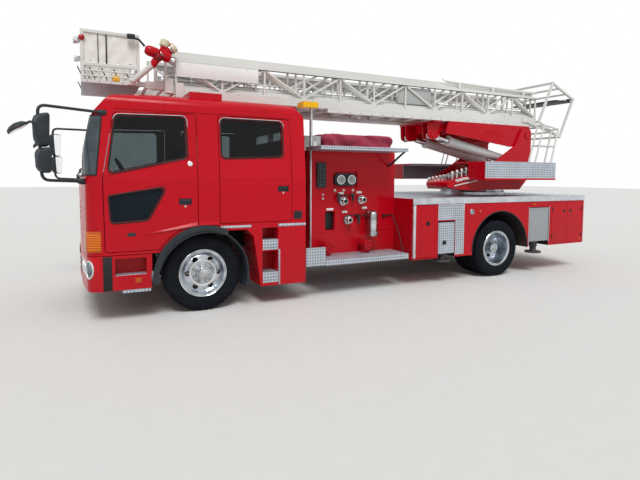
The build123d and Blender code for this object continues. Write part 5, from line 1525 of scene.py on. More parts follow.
@dataclass
class PumpBay(Flank):
    """Gauges, valves, plates, hydrant caps and tread on one side of the open pump bay."""

    face: float = 0.720
    dials: tuple[float, float] = (-1.878, -2.037)
    dial_y: float = 0.746
    dial_z: float = 1.430
    needles: tuple[float, float] = (-0.7, 0.5)
    outlets: tuple[Point, ...] = ((-1.910, 1.150), (-2.190, 1.165), (-1.980, 0.900))
    mouth: float = 0.820
    hydrants: tuple[float, float] = (-1.620, -2.200)
    prop_y: float = 0.737

    def build(self) -> None:
        """Dresses one side of the bay."""
        for dress in (self.gauges, self.fittings, self.plates, self.caps, self.treads, self.stay):
            dress()

    def gauges(self) -> None:
        """Dial faces with ticks and needles under bright bezels, and the row of knobs below."""
        way = self.out
        faces, marks, bright = Blank(), Blank(), Blank()
        for x, needle in zip(self.dials, self.needles):
            centre = self.at(x, self.dial_y, self.dial_z)
            faces.rod(0.050, -0.001, 0.001, centre, way, 48)
            bright.turned([(0.049, 0.000), (0.053, 0.007), (0.060, 0.007), (0.061, -0.002)], centre,
                          way, 48)
            for tick in range(11):
                angle = math.radians(-135 + 27 * tick)
                ray = Vector((math.sin(angle), 0, math.cos(angle)))
                marks.pipe([centre + way * 0.0015 + ray * 0.036, centre + way * 0.0015 + ray * 0.045],
                           0.0013, 4)
            ray = Vector((math.sin(needle), 0, math.cos(needle)))
            marks.pipe([centre + way * 0.003 - ray * 0.010, centre + way * 0.003 + ray * 0.036],
                       0.0016, 4)
            marks.stacked([(0.006, 0.001), (0.005, 0.005)], centre, way, 16)
        for x in (-1.800, -1.930, -2.070):
            bright.stacked([(0.016, -0.001), (0.016, 0.006), (0.010, 0.008), (0.010, 0.022),
                            (0.007, 0.026)], self.at(x, self.face, 1.290), way, 24)
        faces.made(f"gauge_faces_{self.name}", DIAL_WHITE, Slot.WHITE)
        marks.made(f"gauge_marks_{self.name}", SEAL, Slot.PLASTIC)
        bright.made(f"gauge_bezels_{self.name}", CHROME, Slot.CHROME)

    def fittings(self) -> None:
        """Collars and lugs on the outlets, the elbow's joint, and bright knobs on the switch column."""
        way = self.out
        bright, dark = Blank(), Blank()
        for x, z in self.outlets:
            centre = self.at(x, self.mouth, z)
            bright.turned([(0.026, 0.002), (0.034, 0.004), (0.040, 0.000), (0.041, -0.022),
                           (0.036, -0.024), (0.026, -0.004)], centre, way, 36)
            for turn in (0, 1, 2):
                angle = math.radians(90 + 120 * turn)
                ray = spoke(angle)
                bright.stacked([(0.009, 0.030), (0.009, 0.048), (0.006, 0.052)], centre - way * 0.055,
                               ray, 10)
            for bolt in range(6):
                angle = math.radians(60 * bolt + 30)
                place = self.at(x, 0.750, z) + spoke(angle) * 0.048
                bright.rod(0.0065, -0.001, 0.006, place, way, 6)
            # A flat dark disc in each outlet's mouth: painted shade of the open bore.
            dark.rod(0.0265, -0.002, 0.0012, centre, way, 28)
        bright.turned([(0.062, -0.006), (0.068, -0.006), (0.068, 0.006), (0.062, 0.006)],
                      self.at(-2.310, 0.850, 0.860), UP, 40)
        bright.stacked([(0.030, 0.0), (0.030, 0.016), (0.020, 0.020)], self.at(-2.310, 0.850, 0.690),
                       Vector((0, 0, -1)), 28)
        for row in range(7):
            for column in range(2):
                place = self.at(-1.570 - 0.048 * column, 0.745, 1.365 + 0.042 * row)
                bright.stacked([(0.006, -0.001), (0.006, 0.004), (0.0035, 0.012)], place, way, 12)
        for x, z in ((-1.625, 1.235), (-1.625, 1.185)):
            bright.stacked([(0.014, -0.001), (0.014, 0.005), (0.008, 0.007)], self.at(x, self.face, z),
                           way, 24)
        bright.made(f"outlet_collars_{self.name}", STEEL, Slot.STEEL)
        for x, z, long in ((-1.955, 1.222, 0.26), (-2.120, 0.955, 0.30)):
            dark.pipe([self.at(x - long / 2, 0.745, z), self.at(x + long / 2, 0.752, z + 0.006)],
                      0.007, 8)
            dark.rod(0.012, -0.026, 0.010, self.at(x, 0.746, z), way, 16)
        dark.slab(-1.800, -1.662, 0.6605, self.side, 0.772, 1.013, 0.002)
        dark.made(f"outlet_bores_{self.name}", SEAL, Slot.PLASTIC)

    def plates(self) -> None:
        """Bare label plates above the fittings."""
        blank = Blank()
        for x, z, wide in ((-1.895, 1.252, 0.080), (-2.170, 1.262, 0.080), (-1.950, 1.005, 0.075),
                           (-2.255, 1.052, 0.075), (-1.730, 1.045, 0.100)):
            blank.slab(x - wide / 2, x + wide / 2, self.face, self.side, z - 0.014, z + 0.014, 0.0025)
        blank.made(f"bay_label_plates_{self.name}", SIGN_WHITE, Slot.WHITE)
        blank = Blank()
        blank.slab(-2.738, -1.452, self.face, self.side, 0.746, 0.754, 0.003)
        blank.made(f"bay_panel_seam_{self.name}", RED, Slot.RED)

    def caps(self) -> None:
        """Spoked hand wheels and lugs on the red hydrants."""
        way = self.out
        red = Blank()
        for x in self.hydrants:
            centre = self.at(x, 0.910, 0.575)
            red.turned([(0.046, -0.001), (0.046, 0.010), (0.058, 0.014), (0.064, 0.006),
                        (0.064, -0.004)], centre, way, 36)
            red.stacked([(0.018, -0.001), (0.016, 0.014), (0.010, 0.018)], centre, way, 20)
            for turn in range(4):
                angle = math.radians(45 + 90 * turn)
                ray = spoke(angle)
                red.pipe([centre + way * 0.006 + ray * 0.014, centre + way * 0.008 + ray * 0.052],
                         0.005, 8)
                red.stacked([(0.010, 0.056), (0.009, 0.078)], centre - way * 0.02, ray, 10)
        red.made(f"hydrant_caps_{self.name}", RED, Slot.RED)

    def treads(self) -> None:
        """Tread bars on the step, its riser and the panel towards the cab, and the bright edges."""
        blank = Blank()
        self.floor_tread(blank, (-2.66, 0.92, 0.465), 1.20, 0.22)
        self.tread(blank, (-2.67, FLANK, 0.396), 1.21, 0.069)
        self.tread(blank, (-1.445, 1.140, 0.405), 0.238, 0.205)
        self.tread(blank, (-2.64, FLANK, 1.797), 1.25, 0.0345)
        blank.made(f"bay_tread_bars_{self.name}", TREAD, Slot.TREAD, angle=10)
        blank = Blank()
        blank.block(*self.corners((-1.462, -1.446), (0.700, 0.724), (0.452, 1.796)), 0.002)
        blank.made(f"bay_corner_edge_{self.name}", TRIM, Slot.TREAD)

    def stay(self) -> None:
        """The folding prop clipped to the bay's rear wall."""
        blank = Blank()
        blank.pipe([self.at(-2.56, self.prop_y, 0.935), self.at(-2.70, self.prop_y, 0.950)], 0.008, 8)
        blank.pipe([self.at(-2.700, self.prop_y, 0.950), self.at(-2.700, 0.90, 0.70),
                    self.at(-2.655, 1.06, 0.475)], 0.006, 8)
        blank.block(*self.corners((-2.580, -2.540), (0.718, 0.748), (0.918, 0.952)), 0.003)
        blank.made(f"bay_prop_{self.name}", SEAL, Slot.PLASTIC)


@dataclass
class HoseCover:
    """The canvas cover laid over the folded hoses above the pump bay."""

    rear: float = -2.760
    front: float = -1.630
    half: float = 0.720
    low: float = 1.803
    top: float = 2.050
    corner: float = 0.070
    around: int = 240
    fold_out: float = 0.0150
    fold_lift: float = 0.0060

    def build(self) -> None:
        """One fitted sheet with its sewn hem."""
        piece = self.sheet()
        hem = self.hem()
        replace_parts(piece, "hose_cover")

    def edge(self, share: float, inset: float) -> tuple[Vector, Vector]:
        """A place and outward way on the cover's rounded rectangle drawn in by an inset.

        Args:
            share: How far round it, from 0 to 1.
            inset: How far the rectangle is drawn in.

        Returns:
            The place, from the cover's middle, and the way out of it.
        """
        a = (self.front - self.rear) / 2 - inset
        b = self.half - inset
        r = max(0.004, min(self.corner, a, b) - inset * 0.3)
        runs = [2 * (b - r), math.pi * r / 2, 2 * (a - r), math.pi * r / 2] * 2
        far = share * sum(runs)
        corners = [(1, 1), (-1, 1), (-1, -1), (1, -1)]
        for index in range(4):
            cx, cy = corners[index][0] * (a - r), corners[index][1] * (b - r)
            straight, bend = runs[2 * (index % 2)], runs[1]
            start = math.pi / 2 * index
            if far <= straight:
                way = Vector((math.cos(start), math.sin(start)))
                along = Vector((-way.y, way.x))
                return Vector((cx, cy)) - along * (straight - far) + way * r, way
            far -= straight
            if far <= bend:
                angle = start + far / r
                way = Vector((math.cos(angle), math.sin(angle)))
                return Vector((cx, cy)) + way * r, way
            far -= bend
        way = Vector((1, 0))
        return Vector((a - r, -(b - r))) + way * r, way

    def fold(self, place: Vector, height: float) -> float:
        """How far the cloth stands out there, from soft slanting folds and creases.

        Args:
            place: A place on the plan, from the cover's middle.
            height: Its height.

        Returns:
            The cloth's rise, about -4 to 4.
        """
        along = place.x * 1.3 + place.y * 1.1
        drift = 1.8 * noise.noise(Vector((place.x * 2.2, place.y * 2.2, 4.0 + height * 2)))
        swag = 1 - 2 * abs(math.sin(along * 5 - height * 15 + drift))
        slant = math.sin(along * 21 - height * 26 + drift) + 0.5 * math.sin(along * 47 - height * 34)
        crease = noise.noise(Vector((place.x * 6, place.y * 6, height * 12)))
        return 1.5 * swag + 0.5 * slant + 1.5 * crease

    def sheet(self) -> bpy.types.Object:
        """The sheet, from its hem up over the edges and across the top.

        Returns:
            The piece.
        """
        centre = at((self.rear + self.front) / 2, 0, 0)
        rows = [(self.low, 0.010, 0.4), (1.822, 0.018, 0.8), (1.850, 0.024, 1.0), (1.880, 0.027, 1.2),
                (1.910, 0.028, 1.2), (1.940, 0.027, 1.2), (1.968, 0.026, 1.0), (1.992, 0.028, 0.8),
                (2.010, 0.034, 0.5), (2.022, 0.044, 0.3), (2.029, 0.062, 0.3), (2.031, 0.090, 0.5),
                (2.029, 0.135, 0.8), (2.026, 0.190, 1.0), (2.024, 0.250, 1.0), (2.023, 0.315, 1.0),
                (2.022, 0.385, 1.0), (2.022, 0.455, 1.0), (2.022, 0.512, 1.0), (2.022, 0.545, 0.5)]
        loops = []
        for height, inset, share in rows:
            loop = []
            for step in range(self.around):
                place, way = self.edge(step / self.around, inset)
                fold = self.fold(place, height) * share
                flat = inset > 0.04
                out = 0.0 if flat else self.fold_out * fold
                lift = self.fold_lift * fold if flat else 0.0
                spot = place + way * min(out, inset - 0.001)
                loop.append(centre + Vector((spot.x, spot.y, min(height + lift, self.top))))
            loops.append(loop)
        blank = Blank()
        blank.rings(loops, caps=False)
        blank.mesh.faces.new(list(blank.mesh.verts)[-self.around:])
        piece = blank.made("hose_cover_canvas", CANVAS, Slot.CANVAS, angle=80)
        thicken(piece, -1.0)
        return piece

    def hem(self) -> bpy.types.Object:
        """A sewn hem round the cover's foot.

        Returns:
            The piece.
        """
        centre = at((self.rear + self.front) / 2, 0, 0)
        blank = Blank()
        hits = []
        for step in range(self.around):
            place, way = self.edge(step / self.around, 0.007)
            fold = 0.0045 * self.fold(place, self.low) * 0.5
            spot = place + way * min(fold, 0.006)
            hits.append((centre + Vector((spot.x, spot.y, self.low + 0.012)),
                         Vector((way.x, way.y, 0))))
        blank.ribbon(hits, 0.022, 0.0012, closed=True)
        return blank.made("hose_cover_hem", CANVAS, Slot.CANVAS)


@dataclass
class BodyTrim(Flank):
    """Tread sheets, latches, edges, reflectors and lamps on one side of the rear body."""

    tail_lamps: tuple[float, float] = (1.010, 0.930)
    tail_lamp_z: float = 0.580

    def build(self) -> None:
        """Dresses one side of the body."""
        for dress in (self.side_treads, self.locker, self.edges, self.covers, self.lamps, self.tail):
            dress()

    def side_treads(self) -> None:
        """The tread sheet between the locker and the wheel arch, round the outrigger's hatch."""
        blank = Blank()
        out = self.out
        # Columns: X rear, X front, Z bottom, Z top
        for x0, x1, z0, z1 in ((-3.612, -3.164, 0.884, 1.098), (-3.612, -3.470, 0.392, 0.882)):
            blank.slab(x0, x1, FLANK, self.side, z0, z1, 0.0015)
            self.tread(blank, (x0 + 0.004, FLANK + 0.0015, z0 + 0.004), x1 - x0 - 0.008,
                       z1 - z0 - 0.006)
        blank.made(f"side_tread_{self.name}", TREAD, Slot.TREAD, angle=10)
        blank = Blank()
        blank.slab(-3.452, -3.178, FLANK, self.side, 0.424, 0.846, 0.0015)
        self.tread(blank, (-3.449, FLANK + 0.0015, 0.428), 0.273, 0.410)
        blank.made(f"hatch_tread_{self.name}", TREAD, Slot.TREAD, f"outrigger_front_{self.name}",
                   angle=10)
        blank = Blank()
        blank.slab(-3.310, -3.248, FLANK, self.side, 0.545, 0.600, 0.006)
        blank.stacked([(0.012, 0.004), (0.011, 0.010)], self.at(-3.279, FLANK, 0.572), out, 20)
        blank.made(f"hatch_latch_{self.name}", SEAL, Slot.PLASTIC, f"outrigger_front_{self.name}")

    def locker(self) -> None:
        """The locker door's inner panel and T-handle."""
        blank = Blank()
        line = close_spaced(rounded([(-3.118, 0.425, 0.02), (-3.118, 1.062, 0.02),
                                     (-2.870, 1.062, 0.02), (-2.870, 0.425, 0.02)], 4), 0.2)
        out = self.out
        blank.ribbon([(self.at(p.x, FLANK, p.y), out) for p in line], 0.006, 0.0025, closed=True)
        blank.made(f"locker_panel_{self.name}", RED, Slot.RED, f"locker_door_{self.name}")
        blank = Blank()
        centre = self.at(-2.996, FLANK, 0.844)
        blank.turned([(0.012, 0.0), (0.014, 0.004), (0.030, 0.004), (0.032, 0.0)], centre, out, 32)
        blank.rod(0.009, 0.0, 0.012, centre, out, 16)
        blank.block(centre + Vector((-0.006, min(self.side * 0.008, self.side * 0.017), -0.022)),
                    centre + Vector((0.006, max(self.side * 0.008, self.side * 0.017), 0.022)), 0.002)
        blank.made(f"locker_latch_{self.name}", SEAL, Slot.PLASTIC, f"locker_door_{self.name}")
        blank = Blank()
        blank.slab(-2.790, -2.750, FLANK, self.side, 0.388, 1.096, 0.003)
        blank.made(f"locker_edge_{self.name}", TRIM, Slot.TREAD, f"locker_door_{self.name}")

    def edges(self) -> None:
        """Bright strips beside the tread sheet and a rolled lip along the deck."""
        blank = Blank()
        blank.slab(-3.628, -3.612, FLANK, self.side, 0.392, 1.104, 0.003)
        blank.pipe([self.at(-2.742, 1.157, DECK), self.at(-6.196, 1.157, DECK)], 0.004, 8)
        blank.pipe([self.at(-2.742, 1.157, 1.107), self.at(-6.196, 1.157, 1.107)], 0.003, 8)
        blank.slab(-4.9270, -4.9180, FLANK, self.side, 0.470, 1.020, 0.004)
        blank.slab(-5.3720, -5.3630, FLANK, self.side, 0.470, 1.020, 0.004)
        blank.made(f"body_edges_{self.name}", TRIM, Slot.TREAD)

    def covers(self) -> None:
        """The rear outrigger cover's folded edges and grip, and the rear compartment's latches."""
        blank = Blank()
        out = self.out
        line = close_spaced(rounded([(-5.340, 0.510, 0.012), (-5.340, 0.985, 0.012),
                                     (-4.952, 0.985, 0.012), (-4.952, 0.510, 0.012)], 3), 0.2)
        blank.ribbon([(self.at(p.x, FLANK, p.y), out) for p in line], 0.010, 0.003, closed=True)
        blank.slab(-5.345, -4.945, FLANK, self.side, 0.492, 0.506, 0.006)
        blank.made(f"cover_folds_{self.name}", LOCKER_SILVER, Slot.BEAM, f"outrigger_rear_{self.name}")
        blank = Blank()
        for x, z in ((-5.716, 0.941), (-5.864, 0.941)):
            centre = self.at(x, FLANK, z)
            blank.turned([(0.008, 0.0), (0.010, 0.003), (0.024, 0.003), (0.026, 0.0)], centre, out, 28)
            blank.block(centre + Vector((-0.004, min(0, self.side * 0.008), -0.018)),
                        centre + Vector((0.004, max(0, self.side * 0.008), 0.018)), 0.001)
        for x in (-5.445, -6.135):
            for z in (0.54, 0.97):
                blank.rod(0.009, -0.03, 0.03, self.at(x, FLANK + 0.002, z), UP, 12)
        blank.made(f"compartment_latches_{self.name}", DARK_PLASTIC, Slot.PLASTIC)

    def lamps(self) -> None:
        """The filler cap and the side marker lamps."""
        out = self.out
        blank = Blank()
        centre = self.at(-3.774, FLANK, 0.982)
        blank.turned([(0.020, 0.001), (0.024, 0.010), (0.034, 0.010), (0.040, 0.002), (0.040, -0.001)],
                     centre, out, 36)
        blank.stacked([(0.021, -0.001), (0.021, 0.003), (0.012, 0.004)], centre, out, 28)
        blank.made(f"filler_cap_{self.name}", STEEL, Slot.STEEL)
        blank = Blank()
        for x, z in ((-3.925, 0.978), (-5.030, 1.060), (-6.090, 0.480)):
            centre = self.at(x, FLANK, z)
            blank.stacked([(0.020, -0.001), (0.020, 0.005), (0.014, 0.011), (0.005, 0.013)], centre,
                          out, 28)
        blank.made(f"side_markers_{self.name}", AMBER, Slot.LAMP)

    def tail(self) -> None:
        """Tail lamp lenses with their rings, and a grab rail on the tail."""
        blank = Blank()
        for y in self.tail_lamps:
            blank.stacked([(0.034, -0.001), (0.034, 0.006), (0.024, 0.012), (0.006, 0.014)],
                          self.at(TAIL_X, y, self.tail_lamp_z), ASTERN, 32)
        blank.made(f"tail_lenses_{self.name}", TAIL_RED, Slot.LAMP)
        blank = Blank()
        for y in self.tail_lamps:
            blank.turned([(0.034, -0.001), (0.034, 0.008), (0.039, 0.008), (0.039, -0.001)],
                         self.at(TAIL_X, y, self.tail_lamp_z), ASTERN, 32)
        blank.pipe([self.at(-6.188, 0.70, 0.86), self.at(-6.235, 0.70, 0.86),
                    self.at(-6.235, 1.02, 0.86), self.at(-6.188, 1.02, 0.86)], 0.012, 10)
        blank.made(f"tail_rail_{self.name}", STEEL, Slot.STEEL)


@dataclass
class Deck:
    """What the deck and the tail carry in their middle."""

    bars_rear: float = -6.165
    bars_inner: float = 0.07
    bars_long: float = 0.64
    bars_wide: float = 0.99

    def build(self) -> None:
        """Tread bars on the deck behind the turntable, the tail hatch's latch and a bare plate."""
        blank = Blank()
        for _, side in SIDES:
            blank.lozenges(at(self.bars_rear, side * self.bars_inner, DECK), AHEAD * self.bars_long,
                           Vector((0, side * self.bars_wide, 0)), UP)
        blank.made("deck_tread_bars", TREAD, Slot.TREAD, angle=10)
        blank = Blank()
        blank.block(at(-6.194, -0.165, 0.70), at(-6.189, 0.165, 0.80), 0.002)
        blank.made("tail_plate_blank", SIGN_WHITE, Slot.WHITE)
        blank = Blank()
        for y in (0.42, -0.42):
            blank.stacked([(0.026, 0.0), (0.024, 0.005), (0.008, 0.010)], at(TAIL_X, y, 0.97),
                          ASTERN, 28)
        blank.made("tail_hatch_latches", DARK_PLASTIC, Slot.PLASTIC)


@dataclass
class LiftingCradle:
    """The red cradle under the ladder, which the cylinders push and the turret's pins carry."""

    pivot: tuple[float, float] = PIVOT
    eye: tuple[float, float] = (-3.700, 2.120)
    half: float = 0.430
    plate: float = 0.025
    outer: tuple[Point, ...] = ((-3.935, 2.330, 0.0), (-3.864, 2.147, 0.02), (-4.390, 2.086, 0.0),
                                (-5.250, 1.975, 0.0), (-5.480, 1.990, 0.06), (-5.690, 2.100, 0.06),
                                (-5.690, 2.330, 0.0))
    arm: tuple[Point, ...] = ((-3.600, 2.300, 0.01), (-3.610, 2.080, 0.06), (-3.700, 2.045, 0.04),
                              (-3.800, 2.070, 0.05), (-3.870, 2.190, 0.03), (-4.250, 2.170, 0.0),
                              (-4.600, 2.300, 0.0))

    def build(self) -> None:
        """Plates, arms, pins and ties, which stand for the frame's own cradle."""
        blank = Blank()
        for _, side in SIDES:
            out = Vector((0, side, 0))
            blank.plate(self.outer, side * self.half, side * (self.half + self.plate))
            for y in (0.206, 0.332):
                blank.plate(self.arm, side * y, side * (y + 0.022))
            for y in (0.194, 0.354):
                blank.rod(0.038, 0.0, 0.012, at(self.eye[0], side * y, self.eye[1]), out, 32)
            blank.rod(0.045, 0.0, 0.075, at(self.pivot[0], side * 0.435, self.pivot[1]), out, 40)
            for x in (-4.20, -4.45, -5.30):
                blank.rod(0.014, 0.0, 0.004, at(x, side * 0.455, 2.270), out, 20)
        blank.rod(0.045, -self.half, self.half, at(self.pivot[0], 0, self.pivot[1]), LEFT, 40)
        # Columns: X rear, X front, half width, Z bottom, Z top
        for x0, x1, half, z0, z1 in ((-5.690, -4.600, self.half, 2.320, 2.330),
                                     (-4.600, -3.930, self.half, 2.320, 2.330),
                                     (-3.810, -3.640, self.half, 2.298, 2.330),
                                     (-4.330, -4.280, self.half, 2.190, 2.330)):
            blank.block(at(x0, -half, z0), at(x1, half, z1), 0.003)
        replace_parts(blank.made("lifting_cradle", RED, Slot.RED, Body.BOOM), "lifting_frame")


@dataclass
class TurntableTrim(Flank):
    """The walkway's tread, the pivot's cap and the climbing frame on one side of the turntable."""

    rear: float = -5.480
    front: float = -4.000
    low: float = 1.430
    top: float = 1.700
    frame_y: tuple[float, float] = (0.96, 1.08)
    frame_tube: float = 0.014

    def build(self) -> None:
        """Dresses one side's walkway and turret plate."""
        self.skirt()
        self.bolts()
        self.steps()

    def skirt(self) -> None:
        """Tread bars on a walkway's skirt and top, and the red band along its foot."""
        blank = Blank()
        self.tread(blank, (self.rear + 0.004, FLANK, self.low + 0.030), 1.472, 0.238)
        self.floor_tread(blank, (self.rear + 0.01, 0.50, self.top), 1.46, 0.64)
        blank.made(f"walkway_tread_{self.name}", TREAD, Slot.TREAD, Body.TURNTABLE, angle=10)
        blank = Blank()
        blank.slab(self.rear, self.front, FLANK, self.side, self.low, self.low + 0.026, 0.003)
        blank.made(f"walkway_band_{self.name}", RED, Slot.RED, Body.TURNTABLE)

    def bolts(self) -> None:
        """The pivot's end cap and the bolts on the turret's plate."""
        out = self.out
        blank = Blank()
        blank.stacked([(0.070, 0.0), (0.070, 0.008), (0.040, 0.012)],
                      self.at(PIVOT[0], 0.496, PIVOT[1]), out, 32)
        for turn in range(6):
            angle = math.radians(60 * turn)
            place = self.at(PIVOT[0], 0.504, PIVOT[1]) + spoke(angle) * 0.056
            blank.rod(0.008, 0.0, 0.006, place, out, 6)
        blank.made(f"pivot_caps_{self.name}", RED, Slot.RED, Body.TURNTABLE)

    def steps(self) -> None:
        """The short climbing frame on the walkway's rear end."""
        blank = Blank()
        for y in self.frame_y:
            feet = ((-5.100, -5.275, 2.280), (-5.455, -5.600, 2.230))
            for foot, top, high in feet:
                blank.pipe([self.at(foot, y, self.top), self.at(top, y, high)], self.frame_tube, 10)
            blank.pipe([self.at(-5.275, y, 2.280), self.at(-5.600, y, 2.230)], self.frame_tube, 10)
            blank.pipe([self.at(-5.175, y, 1.960), self.at(-5.520, y, 1.960)], 0.012, 10)
        for x, z in ((-5.275, 2.280), (-5.600, 2.230), (-5.175, 1.960), (-5.520, 1.960)):
            blank.pipe([self.at(x, y, z) for y in self.frame_y], self.frame_tube, 10)
        blank.made(f"climbing_frame_{self.name}", LADDER_WHITE, Slot.WHITE, Body.TURNTABLE)


@dataclass
class Console:
    """The slewing ring's bands and the lever console on the left walkway."""

    levers: int = 6
    pitch: float = 0.090
    first: float = -4.210
    slope_x: float = -4.300
    slope_z: float = 1.560
    slope: float = 0.235

    def build(self) -> None:
        """Dresses the ring and the console."""
        self.ring()
        self.console()

    def height(self, x: float) -> float:
        """The height of the console's slanting top."""
        return self.slope_z - (x - self.slope_x) * self.slope

    def ring(self) -> None:
        """Grooves round the fixed slewing ring, drawn as two raised bands."""
        blank = Blank()
        centre = at(-4.860, 0, 0)
        for low, high, proud in ((1.186, 1.198, 0.008), (1.206, 1.224, 0.005)):
            blank.turned([(0.539, low), (0.540 + proud, low), (0.540 + proud, high), (0.539, high)],
                         centre, UP, 120)
        blank.made("slew_ring_bands", STEEL, Slot.STEEL)

    def console(self) -> None:
        """Valve bodies, pipes, knobs and hose couplings along the lever console."""
        blank = Blank()
        for index in range(self.levers):
            x = self.first + index * self.pitch
            z = self.height(x)
            blank.block(at(x - 0.030, 0.600, z - 0.010), at(x + 0.030, 0.690, z + 0.045), 0.006)
            blank.stacked([(0.018, 0.0), (0.018, 0.050), (0.010, 0.056)], at(x, 0.660, z + 0.040),
                          UP, 16)
            blank.rod(0.022, 0.0, 0.012, at(x, 0.740, z - 0.002), UP, 20)
        blank.pipe([at(-4.28, 0.57, 1.60), at(-3.95, 0.57, 1.53), at(-3.70, 0.57, 1.46)], 0.012, 10)
        blank.pipe([at(-4.28, 0.53, 1.60), at(-3.95, 0.53, 1.53), at(-3.70, 0.53, 1.46)], 0.012, 10)
        blank.made("console_valves", STEEL, Slot.STEEL, Body.TURNTABLE)
        blank = Blank()
        for index in range(self.levers):
            x = self.first + index * self.pitch
            z = 1.655 - index * 0.021
            blank.stacked([(0.017, 0.0), (0.019, 0.012), (0.014, 0.024), (0.004, 0.029)],
                          at(x, 0.740, z - 0.022), UP, 20)
        blank.made("lever_knobs", SIGN_WHITE, Slot.WHITE, Body.TURNTABLE)
        blank = Blank()
        for index in range(8):
            x = -4.220 + index * 0.062
            z = self.height(x)
            blank.stacked([(0.020, -0.002), (0.020, 0.030), (0.012, 0.040), (0.012, 0.056)],
                          at(x, 0.800, min(1.450, z - 0.024)), LEFT, 18)
        for index in range(6):
            x, y = -3.650 - index * 0.046, 0.360 + index * 0.028
            z = self.height(x)
            blank.stacked([(0.009, -0.004), (0.009, 0.022), (0.021, 0.028), (0.023, 0.050),
                           (0.010, 0.058)], at(x, y, z), Vector((0.2, 0.1, 1)).normalized(), 16)
        blank.pipe([at(-4.18, 0.815, 1.42), at(-3.90, 0.815, 1.37), at(-3.74, 0.815, 1.34)], 0.010, 8)
        blank.made("console_couplings", LADDER_WHITE, Slot.WHITE, Body.TURNTABLE)


@dataclass
class LadderTrim(Flank):
    """The sign, the hung panel and the rail's bolts on one side of the ladder."""

    half: float = 0.450
    sign_x: tuple[float, float] = (-0.850, 0.150)
    sign_z: tuple[float, float] = (2.620, 2.800)

    def build(self) -> None:
        """Dresses one side of the first section."""
        self.sign()
        self.panel()

    def sign(self) -> None:
        """The bare white sign near the tip, with a turned edge and its clamps."""
        blank = Blank()
        blank.block(*self.corners(self.sign_x, (0.4505, 0.4625), self.sign_z), 0.004)
        blank.made(f"ladder_sign_{self.name}", SIGN_WHITE, Slot.WHITE, Body.BOOM)
        blank = Blank()
        out = self.out
        line = close_spaced(rounded([(-0.846, 2.624, 0.01), (-0.846, 2.796, 0.01), (0.146, 2.796, 0.01),
                                     (0.146, 2.624, 0.01)], 3), 0.2)
        blank.ribbon([(self.at(p.x, 0.4622, p.y), out) for p in line], 0.007, 0.002, closed=True)
        for x in (-0.70, 0.0):
            for z in (2.640, 2.780):
                blank.rod(0.008, 0.0, 0.004, self.at(x, 0.4622, z), out, 12)
        blank.made(f"sign_edge_{self.name}", TRIM, Slot.TREAD, Body.BOOM)

    def panel(self) -> None:
        """The grey box hung inside the lattice and the bolts along the deep rail."""
        blank = Blank()
        blank.block(*self.corners((-3.600, -3.000), (0.4125, 0.4160), (2.545, 2.785)), 0.001)
        blank.made(f"lattice_panel_{self.name}", BOX_GREY, Slot.WHITE, Body.BOOM)
        blank = Blank()
        out = self.out
        for i in range(22):
            blank.rod(0.009, -0.001, 0.004, self.at(-5.70 + i * 0.176, self.half, 2.353), out, 6)
        for i in range(12):
            blank.rod(0.007, -0.001, 0.004, self.at(-5.60 + i * 0.50, self.half, 2.470), out, 6)
        blank.made(f"rail_bolts_{self.name}", STEEL, Slot.STEEL, Body.BOOM)


